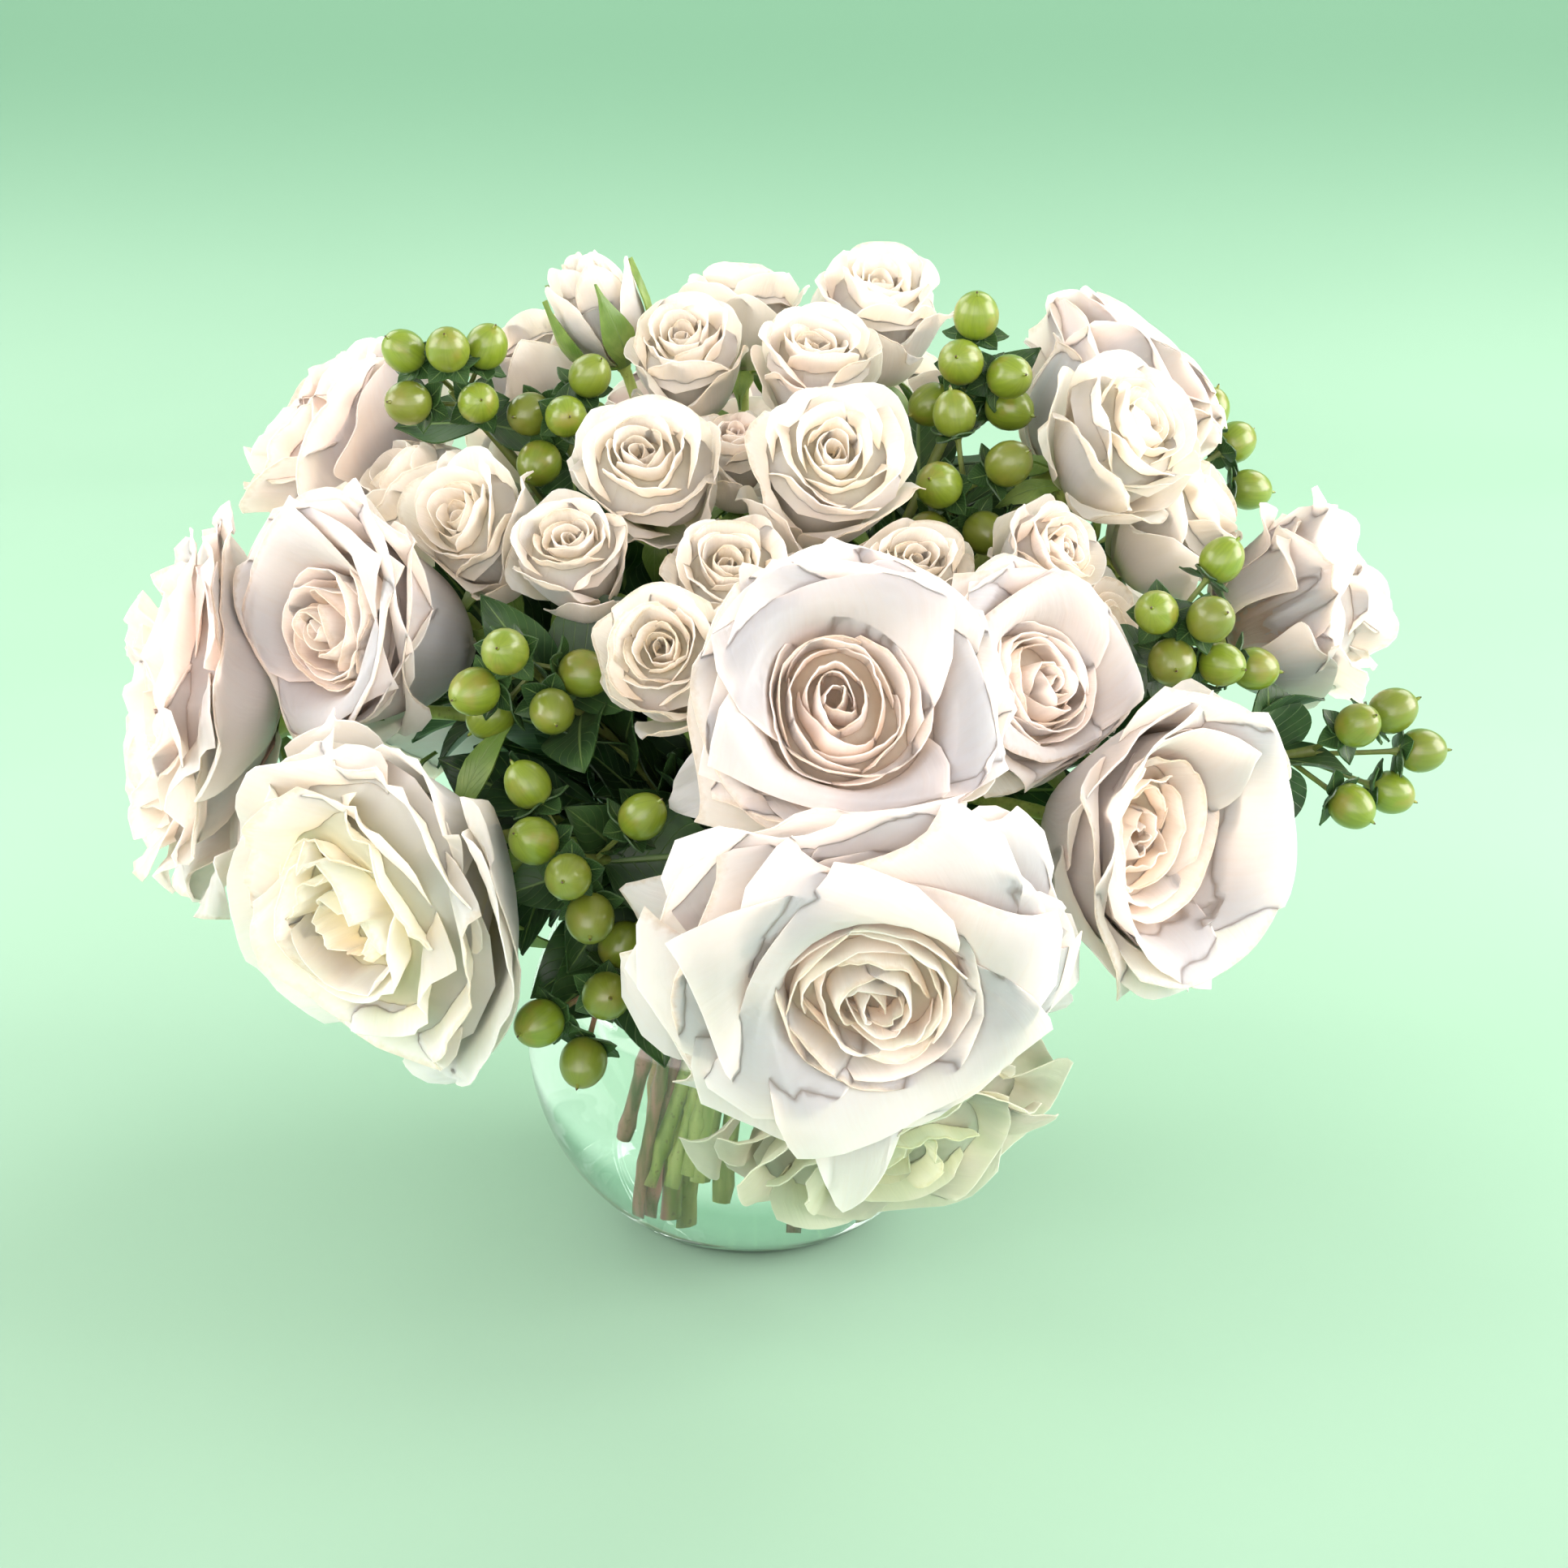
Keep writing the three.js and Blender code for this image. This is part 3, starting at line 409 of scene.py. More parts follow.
def bundles_in_neck():
    """Every bundle of stems, and every hypericum's single stem, with its place in the neck."""
    bundles = [{"name": name, "goals": [goal_of(m) for m in members], "out": BUNDLE_OUT,
                "room": BUNDLE_ROOM} for name, members in BUNDLES.items()]
    for head in clusters:
        goal = {"name": head.name, "heads": [], "end": head.middle, "arrival": head.axis}
        bundles.append({"name": head.name, "goals": [goal], "out": BERRY_OUT, "room": SINGLE_ROOM})
    for bundle in bundles:
        way = unit(sum(goal["end"] for goal in bundle["goals"]) / len(bundle["goals"]) - HUB)
        bundle["place"] = complex(way[0], way[1]) * bundle["out"]
    for _ in range(NECK_SETTLING):
        for i, a in enumerate(bundles):
            for b in bundles[i + 1:]:
                apart = b["place"] - a["place"]
                short = a["room"] + b["room"] - abs(apart)
                if short > 0:
                    push = apart / abs(apart) * (short / 2 + 0.01)
                    a["place"] -= push
                    b["place"] += push
        for bundle in bundles:
            far = abs(bundle["place"])
            bundle["place"] *= min(1, (NECK_ROOM - bundle["room"]) / far)
    return bundles


def lifted(place, height):
    return np.array([place.real, place.imag, height])


def strands_of(bundle, index):
    """A bundle's stems, each as its cut end, its point in the neck and the way that it slants."""
    foot = bundle["place"] * complex(math.cos(TWIST), math.sin(TWIST)) * SPREAD
    count = len(bundle["goals"])
    touching = STEM_RADIUS * LEAN / math.sin(math.pi / count) if count > 1 else 0
    slant = BUNDLE_SPREAD if count > 1 else 0
    strands = []
    for k in range(count):
        turn = 2 * math.pi * k / count + index
        out = complex(math.cos(turn), math.sin(turn))
        step = out * 1j
        low = lifted(foot + out * touching - step * slant, CUT_LOW)
        neck = lifted(bundle["place"] + out * touching, BINDING)
        cut = low + (neck - low) * CUT_SPREAD * noise(index * 7 + k)
        cut = cut + lifted(cmath.rect(SPLAY, 2 * math.pi * noise(index * 5 + k + 0.5)), 0)
        room = math.sqrt(BOWL_RADIUS**2 - (CENTRE_HEIGHT - cut[2]) ** 2) - WALL_ROOM
        cut[:2] *= min(1, room / math.hypot(cut[0], cut[1]))
        strands.append({"step": step, "cut": cut, "neck": neck})
    return strands


def dealt(bundle, strands):
    """Gives each stem of a bundle the goal that lies furthest out on its own side."""
    left = list(bundle["goals"])
    for strand in strands:
        def out(goal):
            way = complex(goal["end"][0], goal["end"][1]) - bundle["place"]
            return (way / abs(way) * strand["step"].conjugate()).real
        best = max(left, key=out)
        left.remove(best)
        strand.update(best)
    return strands


def bezier(points, t):
    """Points on a cubic Bezier curve."""
    a, b, c, d = points
    t = np.asarray(t)[..., None]
    s = 1 - t
    return s**3 * a + 3 * s * s * t * b + 3 * s * t * t * c + t**3 * d


def stem_line(strand):
    """A stem's line from its cut end, straight through the neck, and then in a bow to its goal."""
    cut, neck, end, arrival = (strand[key] for key in ("cut", "neck", "end", "arrival"))
    leaving = unit(neck - cut)
    far = np.linalg.norm(end - neck)
    level = min(max(STEEP - (end[2] - neck[2]) / far, 0), MOST_LEVEL)
    rise = neck + leaving * far * (BOW_OUT + STEEPER * level)
    bow = [neck, rise, end - arrival * far * BOW_IN, end]
    straight = cut + (neck - cut) * np.linspace(0, 1, LOW_STEPS)[:-1, None]
    return np.vstack([straight, bezier(bow, np.linspace(0, 1, BOW_STEPS))])


def branch_line(strand, head):
    """A spray's branch, from the fork of its stem to one of its blooms."""
    start = strand["end"] - strand["arrival"]
    apart = np.linalg.norm(head.base - strand["end"])
    bend = head.base - head.axis * apart * 0.5
    way = [start, start + (bend - start) * 2 / 3, head.base + (bend - head.base) * 2 / 3, head.base]
    return bezier(way, np.linspace(0, 1, 10))


def with_cup(line, head, radius):
    """A bloom's stem that swells into the green hip and cup that the bloom sits on."""
    cup = CALYX_SHARE * head.wide / 2
    long = cup * CUP_LONG
    kept = line[np.linalg.norm(line - head.base, axis=1) > long * 1.1]
    swell = [(1, radius), (0.8, radius * 1.1), *((left, cup * share) for left, share in CUP_OUTLINE)]
    points = np.vstack([kept, [head.base - head.axis * long * left for left, _ in swell]])
    return points, [radius] * len(kept) + [wide for _, wide in swell]


bundles = bundles_in_neck()
strands = [strand | {"node": bundle["name"]} for index, bundle in enumerate(bundles)
           for strand in dealt(bundle, strands_of(bundle, index))]

# ---------------------------------------------------------------- modelling


def only(*pieces):
    """Selects these pieces alone, or nothing."""
    bpy.ops.object.select_all(action="DESELECT")
    for piece in pieces:
        piece.select_set(True)
    if pieces:
        bpy.context.view_layer.objects.active = pieces[0]


def added(name, data):
    """Puts a new object into the scene."""
    thing = bpy.data.objects.new(name, data)
    bpy.context.scene.collection.objects.link(thing)
    return thing


def start_shaping():
    """Opens the active piece in edit mode, selected all over."""
    bpy.ops.object.mode_set(mode="EDIT")
    bpy.ops.mesh.select_all(action="SELECT")


def end_shaping(inside=False):
    """Turns all the faces of the piece in edit mode outwards, or inwards, and leaves edit mode."""
    bpy.ops.mesh.select_all(action="SELECT")
    bpy.ops.mesh.normals_make_consistent(inside=inside)
    bpy.ops.object.mode_set(mode="OBJECT")


def smoothed(piece, degrees=60):
    only(piece)
    bpy.ops.object.shade_smooth_by_angle(angle=math.radians(degrees))


def thrown(name, profile, sides=ROUND_SIDES):
    """A closed round form about +Z, raised ring by ring as on a wheel from (radius, height) pairs."""
    only()
    radius, height = profile[0]
    bpy.ops.mesh.primitive_circle_add(vertices=sides, radius=radius * MM, location=(0, 0, height * MM))
    piece = bpy.context.object
    piece.name = name
    bpy.ops.object.transform_apply()
    start_shaping()
    for next_radius, next_height in profile[1:]:
        rise = (0, 0, (next_height - height) * MM)
        bpy.ops.mesh.extrude_edges_move(TRANSFORM_OT_translate={"value": rise})
        grow = next_radius / radius
        bpy.ops.transform.resize(value=(grow, grow, 1), center_override=(0, 0, 0))
        radius, height = next_radius, next_height
    bpy.ops.mesh.edge_face_add()
    bpy.ops.mesh.select_all(action="DESELECT")
    bpy.ops.mesh.select_non_manifold()
    bpy.ops.mesh.edge_face_add()
    end_shaping()
    return piece


def tube(points, radii, sides=12):
    """A closed tube through points in millimetres, with its own radius at each."""
    only()
    bpy.ops.curve.primitive_nurbs_path_add()
    path = bpy.context.object
    line = path.data
    line.splines.clear()
    spline = line.splines.new("POLY")
    spline.points.add(len(points) - 1)
    spline.points.foreach_set("co", np.hstack([points * MM, np.ones((len(points), 1))]).ravel())
    spline.points.foreach_set("radius", np.array(radii, float))
    line.bevel_depth = MM
    line.bevel_resolution = sides // 4 - 1
    line.use_fill_caps = True
    only(path)
    bpy.ops.object.convert(target="MESH")
    start_shaping()
    bpy.ops.mesh.remove_doubles(threshold=0.01 * MM)
    end_shaping()
    return bpy.context.object


def taken_apart(piece):
    """A modelled piece's corners and faces, which its copies are made from."""
    corners = np.empty(len(piece.data.vertices) * 3)
    piece.data.vertices.foreach_get("co", corners)
    faces = [face.vertices[:] for face in piece.data.polygons]
    bpy.data.objects.remove(piece)
    return corners.reshape(-1, 3), faces


def blank(rows, columns):
    """A flat sheet with sides u from -1 to 1 and ends v from 0 to 1, to be copied and shaped."""
    only()
    bpy.ops.mesh.primitive_grid_add(x_subdivisions=columns, y_subdivisions=rows, size=2)
    corners, faces = taken_apart(bpy.context.object)
    place = corners.reshape(rows + 1, columns + 1, 3)
    u, v = place[..., 0], (place[..., 1] + 1) / 2
    flat = np.stack([(u.ravel() + 1) / 2, v.ravel()], axis=1)
    return {"u": u, "v": v, "faces": faces, "flat": flat}


def copied(name, pattern, copies, notes):
    """One piece of many copies of a pattern, each with its own points in millimetres and a note,
    three numbers that its material reads."""
    count = len(pattern["flat"])
    points = np.concatenate([copy.reshape(-1, 3) for copy in copies]) * MM
    faces = [[corner + i * count for corner in face]
             for i in range(len(copies)) for face in pattern["faces"]]
    mesh = bpy.data.meshes.new(name)
    mesh.from_pydata(points.tolist(), [], faces)
    corners = np.empty(len(mesh.loops), int)
    mesh.loops.foreach_get("vertex_index", corners)
    flat = pattern["flat"][corners % count]
    mesh.uv_layers.new(name="UVMap").data.foreach_set("uv", flat.ravel())
    note = mesh.attributes.new("note", "FLOAT_VECTOR", "POINT")
    note.data.foreach_set("vector", np.repeat(np.array(notes, np.float32), count, axis=0).ravel())
    return added(name, mesh)


def sheets(name, sheet, copies, notes, thick):
    """One piece of many shaped copies of a blank, each with its thickness."""
    piece = copied(name, sheet, copies, notes)
    only(piece)
    modifier = piece.modifiers.new("Thickness", "SOLIDIFY")
    modifier.thickness = thick * MM
    modifier.offset = 0
    bpy.ops.object.modifier_apply(modifier=modifier.name)
    smoothed(piece)
    return piece


def placed(piece, material, slot, *nodes):
    """Finishes a piece: its material, the body it rides on and the nodes it stands for; its slot is not
    used.
    """
    piece.data.materials.clear()
    piece.data.materials.append(material)
    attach(piece, "root")
    if nodes:
        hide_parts(*nodes)


def place_stalks(node, tubes, material, slot):
    """Joins a node's stems and stalks into one piece."""
    only(*tubes)
    if len(tubes) > 1:
        bpy.ops.object.join()
    piece = bpy.context.object
    piece.name = node + "_stalks"
    smoothed(piece, 50)
    placed(piece, material, slot, node)


def place_leaves(node, kind, sheet, leaves, thick, material, slot):
    """Makes a node's leaves or sepals, which all look alike, as one piece."""
    piece = sheets(f"{node}_{kind}", sheet, leaves, [(0, 0, 0)] * len(leaves), thick)
    placed(piece, material, slot, node)


# ---------------------------------------------------------------- materials

# Petals: their body, the warm tone deep in the heart, partly their own and partly painted warm shade of
# the folds, the claws of the outer ones, a worn rim, and the share of the petals whose rim is worn.
PETAL_TONES = {
    "ivory_petal": [(252, 239, 227), (252, 218, 178), (236, 234, 200), (206, 168, 124), 0.45],
    "blush_petal": [(252, 235, 220), (252, 212, 184), (238, 226, 202), (208, 168, 128), 0.45],
    "golden_petal": [(250, 243, 230), (253, 236, 170), (238, 234, 186), (208, 168, 118), 0.45],
    "cream_petal": [(244, 233, 214), (246, 226, 182), (214, 226, 152), (186, 146, 92), 0.4],
    "greenish_petal": [(188, 187, 155), (232, 226, 178), (212, 226, 160), (170, 164, 104), 0.35],
}
# Stems: fresh, ripe and woody bark, and how much of the low end is woody.
STEM_TONES = {
    # Painted light: the rose stems' greens and both woody barks are painted lighter than the stems' own,
    # to make up for the light that the glass and water hold back.
    "rose_stem": [(200, 214, 122), (164, 186, 92), (204, 142, 124), 0.2],
    "hypericum_stem": [(128, 146, 74), (112, 124, 62), (212, 154, 138), 1.0],
}
# Leaves: their deep and their light green.
LEAF_TONES = {
    "rose_sepal": [(96, 128, 56), (136, 162, 84)],
    "hypericum_leaf": [(40, 68, 36), (60, 92, 48)],
    "rose_leaf": [(32, 58, 34), (48, 80, 44)],
}


class Nodes:
    """A material's nodes, added one after another."""

    def __init__(self, name):
        self.material = bpy.data.materials.new(name)
        self.material.use_nodes = True
        self.tree = self.material.node_tree
        self.shader = self.tree.nodes["Principled BSDF"]

    def set(self, node, key, value):
        if isinstance(value, bpy.types.NodeSocket):
            self.tree.links.new(value, node.inputs[key])
        else:
            node.inputs[key].default_value = value

    def add(self, kind, inputs=None, **settings):
        node = self.tree.nodes.new("ShaderNode" + kind)
        for key, value in settings.items():
            setattr(node, key, value)
        for key, value in (inputs or {}).items():
            self.set(node, key, value)
        return node

    def finish(self, **inputs):
        for key, value in inputs.items():
            self.set(self.shader, key.replace("_", " "), value)
        return self.material

    def mix(self, share, a, b):
        return self.add("Mix", {0: share, 6: a, 7: b}, data_type="RGBA").outputs[2]

    def ramp(self, value, low, high, to_low=0.0, to_high=1.0):
        inputs = {"Value": value, "From Min": low, "From Max": high, "To Min": to_low,
                  "To Max": to_high}
        return self.add("MapRange", inputs, interpolation_type="SMOOTHSTEP").outputs[0]

    def math(self, operation, a, b=0.0):
        return self.add("Math", {0: a, 1: b}, operation=operation).outputs[0]

    def times(self, a, b):
        return self.math("MULTIPLY", a, b)

    def noise(self, vector, scale, detail):
        return self.add("TexNoise", {"Vector": vector, "Scale": scale, "Detail": detail}).outputs[0]

    def place(self):
        return self.add("TexCoord").outputs["Object"]

    def parts(self, vector):
        return self.add("SeparateXYZ", {0: vector}).outputs

    def across_and_along(self):
        return self.parts(self.add("UVMap").outputs[0])[:2]

    def age_and_own(self):
        """A copy's note: its age, and a number of its own from 0 to 1."""
        return self.parts(self.add("Attribute", attribute_name="note").outputs["Vector"])[:2]

    def bump(self, height, strength, distance):
        inputs = {"Height": height, "Strength": strength, "Distance": distance * MM}
        return self.add("Bump", inputs).outputs[0]


def color(red, green, blue):
    """A linear colour from sRGB numbers up to 255."""
    linear = [(c / 255 / 12.92) if c < 10.3 else ((c / 255 + 0.055) / 1.055) ** 2.4
              for c in (red, green, blue)]
    return (*linear, 1)


def petal_finish(name):
    """Petals: warm where they fold into the bloom, partly their own tone and partly painted warm shade,
    green at the outer claws, with fine veins along them, a blush here and there and a tired rim."""
    *tones, worn_share = PETAL_TONES[name]
    body, heart_tone_and_shade, claw, edge = (color(*tone) for tone in tones)
    n = Nodes(name)
    u, v = n.across_and_along()
    age, own = n.age_and_own()
    place = n.place()
    cloudy = n.noise(place, 60.0, 3.0)
    # Veins run from the claw and fan out, so they are laid along the petal's own length.
    fan = n.add("CombineXYZ", {0: n.times(u, 34.0), 1: n.times(v, 2.2), 2: n.times(own, 40.0)})
    veins = n.noise(fan.outputs[0], 1.0, 3.0)
    outer = n.ramp(age, 0.72, 0.95)
    # Painted warm shade, with some of the heart's own tone: inner petals turn to the heart tone towards
    # their claws.
    tone = n.mix(n.times(n.ramp(age, 0.6, 0.0), n.ramp(v, 1.1, 0.5)), body, heart_tone_and_shade)
    # Near the claw the outer petals turn green, and the inner ones turn to the heart tone with its
    # painted warm shade.
    deep = n.mix(outer, heart_tone_and_shade, claw)
    reach = n.math("SUBTRACT", 0.72, n.times(outer, 0.34))
    tone = n.mix(n.ramp(n.math("DIVIDE", v, reach), 1.0, 0.25), tone, deep)
    tone = n.mix(n.times(n.ramp(veins, 0.45, 0.75), 0.10), tone, heart_tone_and_shade)
    tone = n.mix(n.times(n.ramp(cloudy, 0.45, 0.75), 0.10), tone, claw)
    blush = n.times(n.ramp(n.noise(place, 34.0, 2.0), 0.5, 0.72), n.ramp(v, 0.45, 1.0))
    tone = n.mix(n.times(blush, 0.45), tone, color(252, 220, 204))
    rim = n.math("ADD", v, n.times(n.noise(place, 420.0, 4.0), 0.09))
    tired = n.ramp(own, 1 - worn_share, 1 - worn_share + 0.1)
    tone = n.mix(n.times(n.times(n.ramp(rim, 0.99, 1.05), tired), 0.6), tone, edge)
    relief = n.math("ADD", n.times(veins, 0.8), n.times(cloudy, 0.5))
    return n.finish(Base_Color=tone, Roughness=n.ramp(veins, 0.3, 0.8, 0.5, 0.68),
                    Normal=n.bump(relief, 0.35, 0.6), Subsurface_Weight=0.8,
                    Subsurface_Radius=(1.0, 0.84, 0.7), Subsurface_Scale=8.0 * MM,
                    Sheen_Weight=0.1, IOR=1.4)


def leaf_finish(name):
    """Leaves: a pale midrib with side veins, blotched between them."""
    deep, light = (color(*tone) for tone in LEAF_TONES[name])
    n = Nodes(name)
    u, v = n.across_and_along()
    side = n.math("ABSOLUTE", n.math("SUBTRACT", u, 0.5))
    slant = n.math("SUBTRACT", n.times(v, 9.0), n.times(side, 6.0))
    vein = n.ramp(n.math("PINGPONG", slant, 0.5), 0.07, 0.0)
    rib = n.ramp(side, 0.035, 0.01)
    lines = n.math("MAXIMUM", n.times(vein, 0.35), n.times(rib, 0.8))
    cloudy = n.noise(n.place(), 90.0, 4.0)
    tone = n.mix(n.ramp(cloudy, 0.35, 0.7), deep, light)
    tone = n.mix(lines, tone, color(118, 146, 84))
    relief = n.math("SUBTRACT", n.times(cloudy, 0.5), lines)
    return n.finish(Base_Color=tone, Roughness=n.ramp(cloudy, 0.3, 0.8, 0.34, 0.5),
                    Normal=n.bump(relief, 0.5, 0.6), Subsurface_Weight=0.15,
                    Subsurface_Radius=(0.5, 1.0, 0.25), Subsurface_Scale=2.0 * MM, IOR=1.42)


def stem_finish(name):
    """Stems: streaks along their length and small flecks, woodier towards the cut ends."""
    *tones, woody_share = STEM_TONES[name]
    fresh, ripe, woody = (color(*tone) for tone in tones)
    n = Nodes(name)
    place = n.place()
    height = n.parts(place)[2]
    along = n.add("Mapping", {"Vector": place, "Scale": (1.0, 1.0, 0.16)}).outputs[0]
    streaks = n.noise(along, 260.0, 4.0)
    apart = n.add("Mapping", {"Vector": place, "Scale": (1.0, 1.0, 0.08)}).outputs[0]
    broad = n.noise(apart, 90.0, 0.0)
    flecks = n.noise(place, 700.0, 2.0)
    tone = n.mix(n.ramp(streaks, 0.35, 0.65), fresh, ripe)
    some = n.ramp(broad, 0.62 - woody_share * 0.3, 0.68 - woody_share * 0.3)
    low = n.times(n.ramp(height, 0.15, 0.09), some)
    # The woody bark low in the bowl carries painted light: its tone is lighter than the bark's own.
    tone = n.mix(n.times(low, n.ramp(streaks, 0.7, 0.3)), tone, woody)
    tone = n.mix(n.times(n.ramp(flecks, 0.62, 0.72), 0.4), tone, color(120, 98, 66))
    return n.finish(Base_Color=tone, Roughness=0.42, Normal=n.bump(streaks, 0.4, 0.5),
                    Subsurface_Weight=0.1, Subsurface_Radius=(0.5, 1.0, 0.2),
                    Subsurface_Scale=1.5 * MM)


def berry_finish():
    """Berries: lime to olive skin with fine lengthwise stripes and a dark tip, under a waxy gloss."""
    n = Nodes("berry_skin")
    u, v = n.across_and_along()
    own = n.age_and_own()[1]
    turn = n.times(u, 2 * math.pi)
    lengthwise = n.math("ADD", n.times(v, 0.7), n.times(own, 20.0))
    skin = n.add("CombineXYZ", {0: n.times(n.math("COSINE", turn), 3.2),
                                1: n.times(n.math("SINE", turn), 3.2), 2: lengthwise})
    stripes = n.noise(skin.outputs[0], 2.2, 2.0)
    blotches = n.noise(n.place(), 110.0, 3.0)
    tone = n.mix(n.ramp(stripes, 0.35, 0.7), color(126, 148, 44), color(116, 138, 40))
    tone = n.mix(n.times(n.ramp(blotches, 0.5, 0.72), 0.6), tone, color(148, 134, 62))
    tone = n.mix(n.times(n.ramp(own, 0.3, 1.0), 0.7), tone, color(108, 116, 44))
    tone = n.mix(n.ramp(v, 0.25, 0.0), tone, color(150, 168, 84))
    tone = n.mix(n.ramp(v, 0.955, 0.985), tone, color(70, 50, 30))
    return n.finish(Base_Color=tone, Roughness=0.3, Normal=n.bump(blotches, 0.1, 0.4),
                    Coat_Weight=0.4, Coat_Roughness=0.15, Subsurface_Weight=0.25,
                    Subsurface_Radius=(0.8, 1.0, 0.2), Subsurface_Scale=3.0 * MM)


def clear_finish(name, tint, bending, scale, strength, depth):
    """Glass or water: clear, with slow waves in its skin."""
    n = Nodes(name)
    waves = n.noise(n.place(), scale, 1.0)
    return n.finish(Base_Color=tint, Transmission_Weight=1.0, IOR=bending, Roughness=0.0,
                    Normal=n.bump(waves, strength, depth))


def floor_finish():
    """Mint paper, with painted shade: darker in front and darker as it runs up behind."""
    n = Nodes("mint_floor")
    place = n.place()
    _, back, height = n.parts(place)
    tone = n.mix(n.ramp(n.noise(place, 2.2, 2.0), 0.3, 0.7), color(169, 209, 181), color(174, 213, 186))
    # Painted shade: darker towards the front.
    tone = n.mix(n.ramp(back, 0.0, -0.45), tone, color(147, 185, 159))
    # Painted shade: darker higher up the backdrop.
    tone = n.mix(n.ramp(height, -0.12, 0.3), tone, color(114, 160, 130))
    return n.finish(Base_Color=tone, Roughness=0.6)


# ---------------------------------------------------------------- blooms

